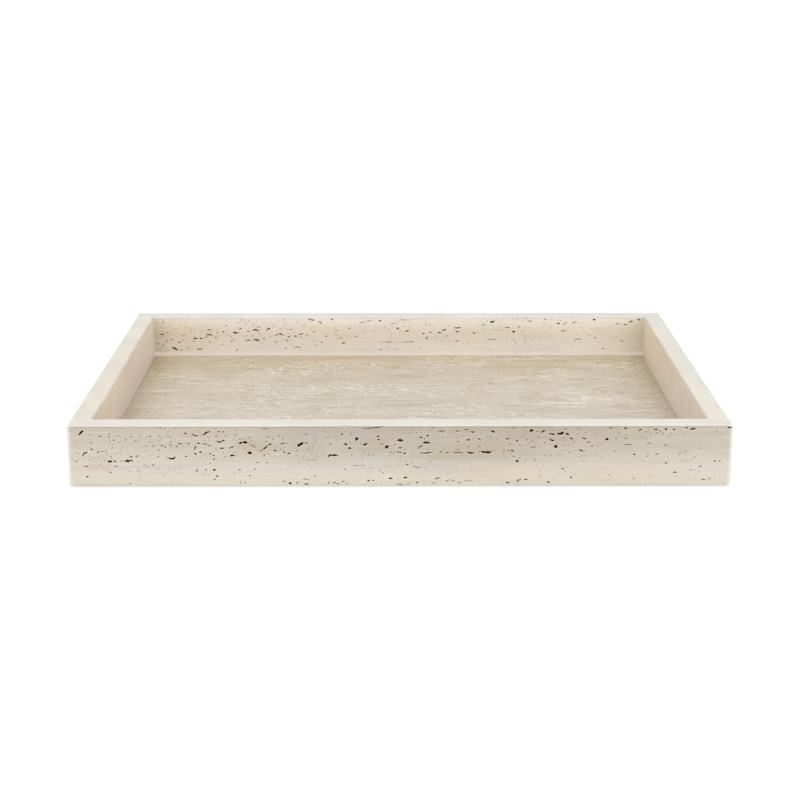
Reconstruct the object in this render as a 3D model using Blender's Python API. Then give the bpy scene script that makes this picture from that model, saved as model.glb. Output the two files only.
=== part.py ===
import math
import random

import bmesh
import bpy
from mathutils import Vector

# Stone slabs, in metres
TRAY_LENGTH = 0.400
TRAY_DEPTH = 0.254
WALL_HEIGHT = 0.0384
WALL_THICKNESS = 0.012
BASE_THICKNESS = 0.0075
ARRIS = 0.0008

# Space between neighbouring pieces, and how far a cutter stands proud
CLEARANCE = 0.0003
OVERRUN = 0.0002

# Resin that bonds the slabs, with a cove squeezed out along each inside corner
CORNER_FILM = 0.0004
CORNER_BEAD = 0.0012
FLOOR_FILM = 0.0012
FLOOR_BEAD_RISE = 0.0022
BACK_BEAD_RISE = 0.0034
BEAD_LIP = 0.0002
RESIN_SINK = 0.0004
COVE_STEPS = 4

# Felt pads under the base
PAD_RADIUS = 0.008
PAD_THICKNESS = 0.0008
PAD_INSET = 0.034
PAD_SIDES = 32

# Open pores of the travertine, as pockets in the faces
PIT_LENGTH = 0.0048
PIT_HEIGHT = 0.0012
PIT_DEPTH = 0.0016
PIT_SIDES = 8
PIT_FLOOR_SHARE = 0.55
PIT_RAGGED_SHARES = (0.75, 1.3)
PIT_SEED = 7

# Each pore: place along and up its face, length and height against the sizes above,
# slope in degrees, and how far it bows upwards against its height
FRONT_PIT_SHARES = (
    (-0.479, 0.88, 0.75, 1.0, 42, 0.0),
    (-0.474, 0.52, 0.80, 0.9, 38, 0.3),
    (-0.433, 0.42, 0.85, 0.8, 0, 0.0),
    (-0.409, 0.42, 1.00, 1.0, 3, 0.2),
    (-0.345, 0.49, 1.10, 0.8, 4, -1.0),
    (-0.322, 0.88, 0.45, 0.9, 0, 0.0),
    (-0.307, 0.85, 0.80, 0.9, -14, -0.6),
    (-0.292, 0.89, 1.10, 0.9, 24, -0.4),
    (-0.306, 0.68, 0.60, 0.8, 62, 0.0),
    (-0.270, 0.75, 1.00, 0.9, 7, -0.3),
    (-0.269, 0.63, 0.50, 0.9, 12, 0.0),
    (-0.252, 0.51, 0.65, 1.1, 5, 0.0),
    (-0.233, 0.70, 1.50, 1.0, -4, 0.8),
    (-0.225, 0.55, 0.60, 1.4, 0, 0.0),
    (-0.198, 0.67, 1.00, 0.9, 46, 0.3),
    (-0.167, 0.54, 0.50, 0.8, 0, 0.0),
    (-0.150, 0.69, 1.05, 1.9, 38, 0.1),
    (-0.100, 0.49, 1.10, 0.8, 0, 1.2),
    (-0.082, 0.69, 0.50, 1.0, 0, 0.0),
    (-0.064, 0.78, 0.55, 1.1, 6, 0.0),
    (-0.052, 0.69, 0.55, 1.2, 15, 0.0),
    (-0.020, 0.65, 0.50, 0.9, 0, 0.0),
    (0.000, 0.75, 0.70, 0.9, 3, 0.0),
    (0.037, 0.69, 1.00, 1.4, -12, 0.2),
    (0.041, 0.55, 1.25, 0.7, 0, 0.0),
    (0.062, 0.91, 0.90, 0.8, 2, 0.0),
    (0.088, 0.55, 1.00, 0.7, 0, 0.0),
    (0.107, 0.56, 0.75, 0.8, 0, -0.8),
    (0.128, 0.56, 1.50, 1.0, 0, 0.2),
    (0.170, 0.57, 0.50, 1.1, 0, 0.0),
    (0.201, 0.64, 0.80, 0.8, 8, 0.0),
    (0.228, 0.85, 1.00, 0.9, -8, -0.4),
    (0.247, 0.87, 1.15, 1.0, 6, 0.8),
    (0.230, 0.76, 0.70, 0.9, -30, 0.0),
    (0.277, 0.79, 0.50, 1.2, 0, 0.0),
    (0.311, 0.77, 0.50, 0.9, 0, 0.0),
    (0.353, 0.51, 0.50, 1.0, 0, 0.0),
    (0.416, 0.19, 0.60, 0.8, 0, 0.7),
    (0.459, 0.10, 0.65, 0.9, 0, 0.0),
    (0.441, 0.93, 0.65, 0.8, 4, 0.0),
    (-0.281, 0.27, 0.45, 0.9, 0, 0.0),
    (-0.014, 0.12, 0.50, 1.0, 0, 0.0),
    (0.008, 0.12, 0.50, 0.8, 0, 0.0),
    (0.181, 0.09, 0.50, 0.9, 50, 0.0),
)
BACK_PIT_SHARES = (
    (-0.482, 0.55, 0.70, 0.9, -12, 0.0),
    (-0.457, 0.20, 0.85, 1.1, -20, 0.0),
    (-0.415, 0.46, 0.70, 0.9, -10, 0.0),
    (-0.403, 0.46, 0.45, 0.9, 0, 0.0),
    (-0.406, 0.19, 1.00, 0.7, 0, 0.0),
    (-0.385, 0.55, 1.00, 1.2, -10, 0.0),
    (-0.332, 0.61, 0.95, 1.1, -14, -0.3),
    (-0.307, 0.40, 0.90, 0.8, 4, 0.0),
    (-0.284, 0.40, 0.90, 0.8, -8, 0.3),
    (-0.290, 0.67, 1.15, 0.9, 4, 0.0),
    (-0.265, 0.69, 0.75, 0.9, 24, 0.0),
    (-0.245, 0.53, 1.50, 0.9, 0, 1.2),
    (-0.208, 0.23, 1.00, 0.8, 4, 0.4),
    (-0.160, 0.94, 1.10, 0.7, 0, 0.0),
    (0.014, 0.63, 0.70, 1.0, 8, 0.0),
    (0.050, 0.57, 0.85, 0.9, 0, 0.0),
    (0.083, 0.60, 0.85, 1.0, -6, 0.0),
    (0.118, 0.72, 0.70, 0.8, 0, 0.0),
    (0.232, 0.61, 0.80, 0.9, 0, 0.0),
    (0.356, 0.83, 0.95, 0.8, 6, 0.0),
    (0.396, 0.92, 0.60, 0.9, 0, 0.0),
    (0.445, 0.83, 0.75, 0.9, -8, 0.0),
    (0.472, 0.86, 0.70, 0.9, 0, 0.0),
)

# Colours as linear values, and how rough each finish is
STONE_COLOUR = (0.80, 0.73, 0.62)
FLOOR_COLOUR = (0.68, 0.60, 0.49)
RESIN_COLOUR = (0.76, 0.71, 0.68)
FELT_COLOUR = (0.21, 0.19, 0.17)
STONE_ROUGHNESS = 0.55
RESIN_ROUGHNESS = 0.35
FELT_ROUGHNESS = 0.95

# Places that follow from the sizes above
HALF_LENGTH = TRAY_LENGTH / 2
HALF_DEPTH = TRAY_DEPTH / 2
INNER_HALF_LENGTH = HALF_LENGTH - WALL_THICKNESS
INNER_HALF_DEPTH = HALF_DEPTH - WALL_THICKNESS
STONE_BOTTOM = PAD_THICKNESS + CLEARANCE
RIM = STONE_BOTTOM + WALL_HEIGHT
FLOOR_TOP = STONE_BOTTOM + BASE_THICKNESS
CORNER_GAP = CLEARANCE + CORNER_FILM + CLEARANCE
FLOOR_GAP = CLEARANCE + FLOOR_FILM + CLEARANCE


def clear_scene():
    for item in list(bpy.data.objects):
        bpy.data.objects.remove(item)


def add_piece(name, body):
    bmesh.ops.recalc_face_normals(body, faces=body.faces)
    mesh = bpy.data.meshes.new(name)
    body.to_mesh(mesh)
    body.free()
    piece = bpy.data.objects.new(name, mesh)
    bpy.context.scene.collection.objects.link(piece)
    return piece


def give_finish(piece, colour, roughness):
    material = bpy.data.materials.new(piece.name + "_finish")
    material.use_nodes = True
    shader = material.node_tree.nodes["Principled BSDF"]
    shader.inputs["Base Color"].default_value = (*colour, 1)
    shader.inputs["Roughness"].default_value = roughness
    shader.inputs["Metallic"].default_value = 0
    piece.data.materials.append(material)


def cut_away(piece, cutter):
    cutter.hide_render = True
    cutter.display_type = "WIRE"
    cut = piece.modifiers.new(cutter.name, "BOOLEAN")
    cut.operation = "DIFFERENCE"
    cut.solver = "EXACT"
    cut.object = cutter


def add_slab(name, size, centre, is_eased):
    # A sawn block. is_eased picks the edges that get an arris, by each edge's middle
    # on the block before it is stretched to size.
    body = bmesh.new()
    bmesh.ops.create_cube(body, size=1)
    weight = body.edges.layers.float.new("bevel_weight_edge")
    for edge in body.edges:
        start, end = (corner.co for corner in edge.verts)
        edge[weight] = float(is_eased((start + end) / 2))
    bmesh.ops.scale(body, vec=size, verts=body.verts)
    piece = add_piece(name, body)
    piece.location = centre
    arris = piece.modifiers.new("arris", "BEVEL")
    arris.limit_method = "WEIGHT"
    arris.width = ARRIS
    arris.segments = 1
    return piece


def add_extrusion(name, outline, along):
    body = bmesh.new()
    face = body.faces.new([body.verts.new(point) for point in outline])
    moved = bmesh.ops.extrude_face_region(body, geom=[face])["geom"]
    far_end = [item for item in moved if isinstance(item, bmesh.types.BMVert)]
    bmesh.ops.translate(body, vec=along, verts=far_end)
    return add_piece(name, body)


def cove_points(start, end):
    # A hollow quarter curve from start, on the first axis, to end, on the second.
    points = []
    for step in range(COVE_STEPS + 1):
        angle = math.radians(90) * step / COVE_STEPS
        points.append(
            (
                start[0] - (start[0] - end[0]) * math.sin(angle),
                end[1] - (end[1] - start[1]) * math.cos(angle),
            )
        )
    return points


def add_pit(body, centre, length, height, slope, bow, chance):
    # A lens-shaped pocket that narrows from its mouth to its floor, cut along +Y.
    ragged = [chance.uniform(*PIT_RAGGED_SHARES) for _ in range(PIT_SIDES)]
    rings = []
    for shrink, y in ((1, -OVERRUN), (PIT_FLOOR_SHARE, PIT_DEPTH)):
        ring = []
        for side, swell in enumerate(ragged):
            angle = math.tau * side / PIT_SIDES
            x = math.cos(angle) * length / 2
            z = math.sin(angle) * swell * height / 2 + bow * height * math.sin(angle) ** 2
            turned_x = x * math.cos(slope) - z * math.sin(slope)
            turned_z = x * math.sin(slope) + z * math.cos(slope)
            place = centre + Vector((turned_x * shrink, y, turned_z * shrink))
            ring.append(body.verts.new(place))
        rings.append(ring)
    mouth, floor = rings
    body.faces.new(mouth)
    body.faces.new(floor[::-1])
    for side in range(PIT_SIDES):
        after = (side + 1) % PIT_SIDES
        body.faces.new((mouth[after], mouth[side], floor[side], floor[after]))


def add_pit_cutter(name, pit_shares, face_y, face_length, face_low, face_height):
    chance = random.Random(PIT_SEED)
    body = bmesh.new()
    for along, up, length, height, slope, bow in pit_shares:
        centre = Vector((along * face_length, face_y, face_low + up * face_height))
        size = (length * PIT_LENGTH, height * PIT_HEIGHT)
        add_pit(body, centre, *size, math.radians(slope), bow, chance)
    return add_piece(name, body)


def keep_sharp(middle):
    return False


def make_base_panel():
    plan = (2 * (INNER_HALF_LENGTH - FLOOR_GAP), 2 * (INNER_HALF_DEPTH - FLOOR_GAP))
    centre = (0, 0, STONE_BOTTOM + BASE_THICKNESS / 2)
    panel = add_slab("base_panel", (*plan, BASE_THICKNESS), centre, keep_sharp)
    give_finish(panel, FLOOR_COLOUR, STONE_ROUGHNESS)


def make_long_wall(name, side):
    # The front and back walls run the tray's whole length. Their outer edges and ends are
    # eased, and the inner top edge is eased only between the side walls.
    size = (TRAY_LENGTH, WALL_THICKNESS, WALL_HEIGHT)
    centre = (0, side * (HALF_DEPTH - WALL_THICKNESS / 2), STONE_BOTTOM + WALL_HEIGHT / 2)
    wall = add_slab(name, size, centre, lambda middle: middle.y * side >= 0)
    leg = ARRIS * math.sqrt(2)
    cutter_size = (2 * INNER_HALF_LENGTH, leg, leg)
    cutter_centre = (0, side * INNER_HALF_DEPTH, RIM)
    cutter = add_slab(name + "_edge", cutter_size, cutter_centre, keep_sharp)
    cutter.rotation_euler.x = math.radians(45)
    cut_away(wall, cutter)
    give_finish(wall, STONE_COLOUR, STONE_ROUGHNESS)
    return wall


def make_side_wall(name, side):
    # The side walls stand between the front and back walls, a bond line away from each.
    size = (WALL_THICKNESS, 2 * (INNER_HALF_DEPTH - CORNER_GAP), WALL_HEIGHT)
    centre = (side * (HALF_LENGTH - WALL_THICKNESS / 2), 0, STONE_BOTTOM + WALL_HEIGHT / 2)
    wall = add_slab(
        name, size, centre, lambda middle: middle.y == 0 and (middle.x * side > 0 or middle.z > 0)
    )
    give_finish(wall, STONE_COLOUR, STONE_ROUGHNESS)


def make_walls():
    front = make_long_wall("front_wall", -1)
    pits = add_pit_cutter(
        "front_pits", FRONT_PIT_SHARES, -HALF_DEPTH, TRAY_LENGTH, STONE_BOTTOM, WALL_HEIGHT
    )
    cut_away(front, pits)
    back = make_long_wall("back_wall", 1)
    well_depth = RIM - FLOOR_TOP
    pits = add_pit_cutter(
        "back_pits", BACK_PIT_SHARES, INNER_HALF_DEPTH, 2 * INNER_HALF_LENGTH, FLOOR_TOP, well_depth
    )
    cut_away(back, pits)
    make_side_wall("left_wall", -1)
    make_side_wall("right_wall", 1)


def make_corner_joint(name, side_x, side_y):
    # Resin between a side wall's end and a long wall, with its cove in the inside corner.
    # across runs from the tray's end towards its middle, in from the long wall's inner face.
    inner = WALL_THICKNESS + CLEARANCE
    film_edge = CLEARANCE + CORNER_FILM
    cove = cove_points(
        (inner + CORNER_BEAD, CLEARANCE + BEAD_LIP), (inner + BEAD_LIP, CORNER_GAP + CORNER_BEAD)
    )
    section = [(RESIN_SINK, CLEARANCE), (inner + CORNER_BEAD, CLEARANCE)]
    section += cove
    section += [(inner, CORNER_GAP + CORNER_BEAD), (inner, film_edge), (RESIN_SINK, film_edge)]
    low = STONE_BOTTOM + RESIN_SINK
    high = RIM - RESIN_SINK
    outline = [
        (side_x * (HALF_LENGTH - across), side_y * (INNER_HALF_DEPTH - depth), low)
        for across, depth in section
    ]
    joint = add_extrusion(name, outline, (0, 0, high - low))
    give_finish(joint, RESIN_COLOUR, RESIN_ROUGHNESS)


def make_floor_joint(name, quarter_turns, wall_reach, half_run, rise):
    # Resin between the base's edge and a wall, with a cove that climbs the wall. It is drawn
    # for the front wall, whose inner face is wall_reach from the middle, and turned about Z.
    film_edge = CLEARANCE + FLOOR_FILM
    section = [(CLEARANCE, STONE_BOTTOM + RESIN_SINK), (film_edge, STONE_BOTTOM + RESIN_SINK)]
    section += cove_points((film_edge, FLOOR_TOP), (CLEARANCE + BEAD_LIP, FLOOR_TOP + rise))
    section += [(CLEARANCE, FLOOR_TOP + rise)]
    outline = [(-half_run, depth - wall_reach, z) for depth, z in section]
    joint = add_extrusion(name, outline, (2 * half_run, 0, 0))
    joint.rotation_euler.z = math.radians(90) * quarter_turns
    give_finish(joint, RESIN_COLOUR, RESIN_ROUGHNESS)


def make_resin():
    for end, side_y in (("front", -1), ("back", 1)):
        for hand, side_x in (("left", -1), ("right", 1)):
            make_corner_joint(f"corner_joint_{end}_{hand}", side_x, side_y)
    long_run = INNER_HALF_LENGTH - CLEARANCE - CORNER_BEAD - CLEARANCE
    short_run = INNER_HALF_DEPTH - CORNER_GAP - CORNER_BEAD - CLEARANCE
    make_floor_joint("floor_joint_front", 0, INNER_HALF_DEPTH, long_run, FLOOR_BEAD_RISE)
    make_floor_joint("floor_joint_right", 1, INNER_HALF_LENGTH, short_run, FLOOR_BEAD_RISE)
    make_floor_joint("floor_joint_back", 2, INNER_HALF_DEPTH, long_run, BACK_BEAD_RISE)
    make_floor_joint("floor_joint_left", 3, INNER_HALF_LENGTH, short_run, FLOOR_BEAD_RISE)


def make_pads():
    for end, side_y in (("front", -1), ("back", 1)):
        for hand, side_x in (("left", -1), ("right", 1)):
            body = bmesh.new()
            bmesh.ops.create_cone(
                body,
                cap_ends=True,
                segments=PAD_SIDES,
                radius1=PAD_RADIUS,
                radius2=PAD_RADIUS,
                depth=PAD_THICKNESS,
            )
            pad = add_piece(f"foot_pad_{end}_{hand}", body)
            pad.location = (
                side_x * (HALF_LENGTH - PAD_INSET),
                side_y * (HALF_DEPTH - PAD_INSET),
                PAD_THICKNESS / 2,
            )
            give_finish(pad, FELT_COLOUR, FELT_ROUGHNESS)


clear_scene()
make_base_panel()
make_walls()
make_resin()
make_pads()
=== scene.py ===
import math
import random

import bpy
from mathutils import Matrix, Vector, noise


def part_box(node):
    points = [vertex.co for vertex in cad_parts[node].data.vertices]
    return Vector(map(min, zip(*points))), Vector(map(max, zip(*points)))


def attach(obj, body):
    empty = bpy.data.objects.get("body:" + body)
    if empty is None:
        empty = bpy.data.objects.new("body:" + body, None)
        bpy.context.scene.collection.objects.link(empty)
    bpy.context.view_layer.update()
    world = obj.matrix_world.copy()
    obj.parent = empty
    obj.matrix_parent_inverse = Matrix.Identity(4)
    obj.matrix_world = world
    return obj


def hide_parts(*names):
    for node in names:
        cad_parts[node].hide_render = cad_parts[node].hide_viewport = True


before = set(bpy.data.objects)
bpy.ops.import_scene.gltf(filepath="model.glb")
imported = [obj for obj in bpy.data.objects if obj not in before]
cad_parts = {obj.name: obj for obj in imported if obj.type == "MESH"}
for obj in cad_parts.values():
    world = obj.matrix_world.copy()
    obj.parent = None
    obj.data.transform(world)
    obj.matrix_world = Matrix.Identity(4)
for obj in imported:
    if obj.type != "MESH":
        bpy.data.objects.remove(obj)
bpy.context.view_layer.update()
print("frame loaded:", len(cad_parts), "nodes")

mm = 0.001
hair = 0.01 * mm  # places nearer than this are one place
touch = 0.1 * mm  # an edge or a face is found within this
longEdge = 50 * mm

frontLow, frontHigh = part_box("front_wall")
backLow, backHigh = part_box("back_wall")
leftLow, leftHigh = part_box("left_wall")
rightLow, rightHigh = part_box("right_wall")
baseLow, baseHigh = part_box("base_panel")
stoneBottom = frontLow.z
rimHeight = frontHigh.z
floorTop = baseHigh.z
wallLength = (frontHigh.x - frontLow.x) / mm


def leaveEdit():
    bpy.ops.object.mode_set(mode="OBJECT")


def clearPick():
    if bpy.context.object and bpy.context.object.mode != "OBJECT":
        leaveEdit()
    bpy.ops.object.select_all(action="DESELECT")


def pickOnly(*pieces):
    clearPick()
    for piece in pieces:
        piece.select_set(True)
    bpy.context.view_layer.objects.active = pieces[0]


def pickParts(piece, kind, isWanted):  # edit mode stays on
    pickOnly(piece)
    bpy.ops.object.mode_set(mode="EDIT")
    bpy.ops.mesh.select_mode(type=kind)
    bpy.ops.mesh.select_all(action="DESELECT")
    leaveEdit()
    for part in piece.data.edges if kind == "EDGE" else piece.data.polygons:
        part.select = bool(isWanted(part))
    bpy.ops.object.mode_set(mode="EDIT")


def pickEdges(piece, isWanted):  # isWanted takes the edge's two ends
    pickParts(piece, "EDGE", lambda edge: isWanted(*(piece.data.vertices[i].co for i in edge.vertices)))


def sliceAcross(piece, place, direction):
    pickOnly(piece)
    bpy.ops.object.mode_set(mode="EDIT")
    bpy.ops.mesh.select_all(action="SELECT")
    bpy.ops.mesh.bisect(plane_co=place, plane_no=direction)
    leaveEdit()


def addBlock(name, low, high):
    clearPick()
    bpy.ops.mesh.primitive_cube_add(size=1, location=(low + high) / 2)
    block = bpy.context.object
    block.name = block.data.name = name
    block.scale = high - low
    bpy.ops.object.transform_apply(location=True, rotation=True, scale=True)
    return block


def cutWith(piece, cutter):
    pickOnly(piece)
    cut = piece.modifiers.new("cut", "BOOLEAN")
    cut.operation = "DIFFERENCE"
    cut.solver = "MANIFOLD"
    cut.object = cutter
    bpy.ops.object.modifier_apply(modifier=cut.name)
    bpy.data.objects.remove(cutter)


class Wire:  # one socket, which sums take like a number
    def __init__(self, recipe, socket):
        self.recipe = recipe
        self.socket = socket

    def sum(self, operation, *values):
        values = values or (self,)
        return self.recipe.node("ShaderNodeMath", {"operation": operation}, dict(enumerate(values)))

    def __add__(self, other):
        return self.sum("ADD", self, other)

    def __radd__(self, other):
        return self.sum("ADD", other, self)

    def __sub__(self, other):
        return self.sum("SUBTRACT", self, other)

    def __rsub__(self, other):
        return self.sum("SUBTRACT", other, self)

    def __mul__(self, other):
        return self.sum("MULTIPLY", self, other)

    def __rmul__(self, other):
        return self.sum("MULTIPLY", other, self)

    def lower(self, other):
        return self.sum("MINIMUM", self, other)

    def higher(self, other):
        return self.sum("MAXIMUM", self, other)


class Recipe:  # the node tree of a new material or world
    def __init__(self, owner):
        owner.use_nodes = True
        self.owner = owner
        self.tree = owner.node_tree

    def feed(self, socket, value):
        if isinstance(value, Wire):
            self.tree.links.new(value.socket, socket)
        else:
            socket.default_value = value

    def node(self, kind, settings=None, sockets=None, out=0):
        made = self.tree.nodes.new(kind)
        for name, value in (settings or {}).items():
            setattr(made, name, value)
        for name, value in (sockets or {}).items():
            self.feed(made.inputs[name], value)
        return Wire(self, made.outputs[out])

    def vector(self, operation, first, second=(0, 0, 0), out=0):
        return self.node("ShaderNodeVectorMath", {"operation": operation}, {0: first, 1: second}, out)

    def places(self, shift=(0, 0, 0)):  # the piece's own millimetres
        spot = self.vector("MULTIPLY", self.node("ShaderNodeTexCoord", out="Object"), (1 / mm,) * 3)
        return self.vector("ADD", spot, shift)

    def axis(self, spot, letter):
        return self.node("ShaderNodeSeparateXYZ", None, {0: spot}, out="XYZ".index(letter))

    def waves(self, spot, reach):  # reach is one wave, in mm, along X, Y and Z
        return self.vector("MULTIPLY", spot, tuple(1 / size for size in reach))

    def grain(self, spot, reach, detail=2.0, rough=0.5, twist=0.0):
        sockets = {"Scale": 1.0, "Detail": detail, "Roughness": rough, "Distortion": twist}
        return self.node("ShaderNodeTexNoise", None, {"Vector": self.waves(spot, reach), **sockets})

    def cells(self, spot, reach):
        sockets = {"Vector": self.waves(spot, reach), "Scale": 1.0}
        return self.node("ShaderNodeTexVoronoi", None, sockets, out="Distance")

    def step(self, value, start, end):  # 0 below start and 1 past end, softly
        settings = {"interpolation_type": "SMOOTHSTEP"}
        return self.node("ShaderNodeMapRange", settings, {0: value, 1: start, 2: end})

    def away(self, spot, plane, place, reach):  # how far a point is from a place, 1 at the reach
        centre, scale = [0, 0, 0], [0, 0, 0]
        for letter, along, size in zip(plane, place, reach):
            centre["XYZ".index(letter)] = along
            scale["XYZ".index(letter)] = 1 / size
        spot = self.vector("MULTIPLY", self.vector("SUBTRACT", spot, centre), scale)
        return self.vector("LENGTH", spot, out=1)

    def ramp(self, value, stops):  # stops are rows of place and colour
        made = self.tree.nodes.new("ShaderNodeValToRGB")
        dots = made.color_ramp.elements
        while len(dots) < len(stops):
            dots.new(1)
        for dot, (place, colour) in zip(dots, stops):
            dot.position = place
            dot.color = paint(colour)
        self.feed(made.inputs[0], value)
        return Wire(self, made.outputs[0])

    def around(self, value, middle, reach):  # 1 at the middle and 0 past its reach: a thin line
        return 1 - self.step((value - middle).sum("ABSOLUTE"), 0, reach)

    def blend(self, factor, first, second, mode="MIX"):
        settings = {"data_type": "RGBA", "blend_type": mode}
        return self.node("ShaderNodeMix", settings, {0: factor, 6: paint(first), 7: paint(second)}, out=2)

    def bump(self, height, distance, strength):
        sockets = {"Strength": strength, "Distance": distance, "Height": height}
        return self.node("ShaderNodeBump", None, sockets)

    def finish(self, colour, roughness, normal, **constants):
        sockets = {"Base Color": paint(colour), "Roughness": roughness, "Normal": normal, **constants}
        for name, value in sockets.items():
            self.feed(self.tree.nodes["Principled BSDF"].inputs[name], value)
        return self.owner

    def show(self, shader, output):  # in place of the tree's first shader
        surface = self.tree.nodes[output].inputs["Surface"]
        self.tree.nodes.remove(surface.links[0].from_node)
        self.tree.links.new(shader.socket, surface)


def paint(colour):
    return colour if isinstance(colour, Wire) or len(colour) == 4 else (*colour, 1)


def screenColour(red, green, blue):  # from the 0 to 255 values of a picture
    def linear(value):
        value /= 255
        return value / 12.92 if value <= 0.04045 else ((value + 0.055) / 1.055) ** 2.4
    return linear(red), linear(green), linear(blue)


# in metres and degrees; the focal length is in pixels of the 800 pixel frame
cameraView = {
    "place": (-0.0028, -0.9536, 0.3379),
    "below": 12.57,
    "turn": 0.192,
    "focus": 1452.7,
    "shift": -0.2,
    "frame": 800,
    "sensor": 36,
    "clip": (0.01, 100),
}


def placeCamera(view):
    lens = bpy.data.cameras.new("camera")
    lens.sensor_width = view["sensor"]
    lens.lens = view["focus"] * view["sensor"] / view["frame"]
    lens.shift_y = view["shift"]
    lens.clip_start, lens.clip_end = view["clip"]
    camera = bpy.data.objects.new("camera", lens)
    camera.location = view["place"]
    camera.rotation_euler = (math.radians(90 - view["below"]), 0, -math.radians(view["turn"]))
    bpy.context.scene.collection.objects.link(camera)
    bpy.context.scene.camera = camera


studio = {
    "floorReach": 30,
    "skyStrength": 0.76,
    "skyColour": (1.0, 0.995, 0.985),
    "groundColour": (0.88, 0.88, 0.88),
    "groundShow": (0.55, 0.55, 0.55),
    "groundLift": 0.62,
}
panels = {
    "overhead": {"power": 4.2, "size": (1.6, 1.2), "place": (0.0, -0.1, 1.5)},
    "front": {"power": 7.0, "size": (2.2, 0.5), "place": (0.0, -1.7, 0.30)},
}
white = (1, 1, 1, 1)


def addPanelLight(name, look):
    lamp = bpy.data.lights.new(name, "AREA")
    lamp.shape = "RECTANGLE"
    lamp.size, lamp.size_y = look["size"]
    lamp.energy = look["power"]
    panel = bpy.data.objects.new(name, lamp)
    panel.location = look["place"]
    panel.visible_camera = False
    panel.rotation_euler = (-Vector(look["place"])).to_track_quat("-Z", "Y").to_euler()
    bpy.context.scene.collection.objects.link(panel)


def makeSky():
    # the camera and mirrors see plain white, whatever strength lights the tray
    recipe = Recipe(bpy.data.worlds.new("sky"))
    bpy.context.scene.world = recipe.owner
    seen = recipe.node("ShaderNodeLightPath", out="Is Camera Ray")
    for kind in ("Is Glossy Ray", "Is Transmission Ray"):
        seen = seen.higher(recipe.node("ShaderNodeLightPath", out=kind))
    sockets = {"Color": paint(studio["skyColour"]), "Strength": studio["skyStrength"]}
    light = recipe.node("ShaderNodeBackground", None, sockets)
    plain = recipe.node("ShaderNodeBackground", None, {"Color": white})
    recipe.show(recipe.node("ShaderNodeMixShader", None, {0: seen, 1: light, 2: plain}), "World Output")


def makeGround():
    # the camera sees the ground as plain white, with the tray's shadow thinned out on it
    clearPick()
    bpy.ops.mesh.primitive_plane_add(size=studio["floorReach"])
    ground = bpy.context.object
    ground.name = "ground"
    recipe = Recipe(bpy.data.materials.new("groundWhite"))
    rays = recipe.node("ShaderNodeLightPath", out="Is Camera Ray")
    full = recipe.node("ShaderNodeBsdfDiffuse", None, {"Color": paint(studio["groundColour"])})
    thin = recipe.node("ShaderNodeBsdfDiffuse", None, {"Color": paint(studio["groundShow"])})
    lift = recipe.node("ShaderNodeEmission", None, {"Color": white, "Strength": studio["groundLift"]})
    seen = recipe.node("ShaderNodeAddShader", None, {0: thin, 1: lift})
    recipe.show(recipe.node("ShaderNodeMixShader", None, {0: rays, 1: full, 2: seen}), "Material Output")
    ground.data.materials.append(recipe.owner)


stoneTones = {
    "pale": (0.86, 0.80, 0.71),
    # the arris tone is a painted highlight, put on the eased edges as they turn up and on the pores'
    # upward-facing lips
    "arris": (0.95, 0.88, 0.75),
    "tan": screenColour(146, 108, 64),
    "seam": (0.72, 0.62, 0.50),
}

# where each mark starts and where it is full: on a noise, on the share of its reach, on how far
# a face looks up, or on the depth in mm
fades = {
    "gather": (0.36, 0.62),
    "mottle": (0.62, 0.34),
    "seamPatch": (0.50, 0.58),
    "holePatch": (0.42, 0.58),
    "hole": (0.15, 0.09),
    "stain": (1.1, 0.2),
    "ripple": (1.0, 0.5),
    "rippleLine": (0.3, 0.0),
    "rimPatch": (0.38, 0.62),
    "rimUp": (0.35, 0.75),
    "arrisUp": (0.10, 0.35),
    "arrisTop": (0.98, 0.80),
    "edgeUp": (0.7, 0.95),
    "faceUp": (0.2, 0.05),
    "poreUp": (0.45, 0.95),
    "poreDeep": (0.08, 0.45),
    "lipUp": (0.05, 0.25),
    "lipDeep": (0.18, 0.10),
}
# and how strongly it shows
shares = {
    "mottle": 0.55,
    "gatherLeast": 0.35,
    "gatherMottle": 1.3,
    "rim": 0.92,
    "arrisLeast": 0.4,
    "arrisPatch": 0.8,
    "lip": 0.9,
    "poreLight": 0.45,
    "stainWander": 2.5,
}
# detail, roughness and twist of the noises that aren't plain
grains = {
    "wander": (3,),
    "patch": (3, 0.55, 0.4),
    "mottle": (3, 0.65),
    "dash": (3, 0.6, 0.3),
    "seam": (3, 0.5, 0.3),
    "rub": (3,),
}
seamLines = {"brown": (0.44, 0.008), "pale": (0.56, 0.010)}
rimWaves = {"patch": (38, 38, 38), "rub": (16, 24, 16)}
stoneSkin = {
    "mottle": 0.5,
    "pinhole": 1.8,
    "seam": 0.5,
    "depth": 0.07 * mm,
    "strength": 0.8,
    "rough": 0.52,
    "roughSpread": 0.25,
    "shine": 0.5,
    "poreShine": 0.0,  # broken stone inside the pores has none
}


def depthInside(recipe, spot, low, high):  # how far a point lies inside the sawn block, in mm
    deep = None
    for letter, lowSide, highSide in zip("XYZ", low, high):
        along = recipe.axis(spot, letter)
        inner = (along - lowSide / mm).lower(highSide / mm - along)
        deep = inner if deep is None else deep.lower(inner)
    return deep


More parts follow.
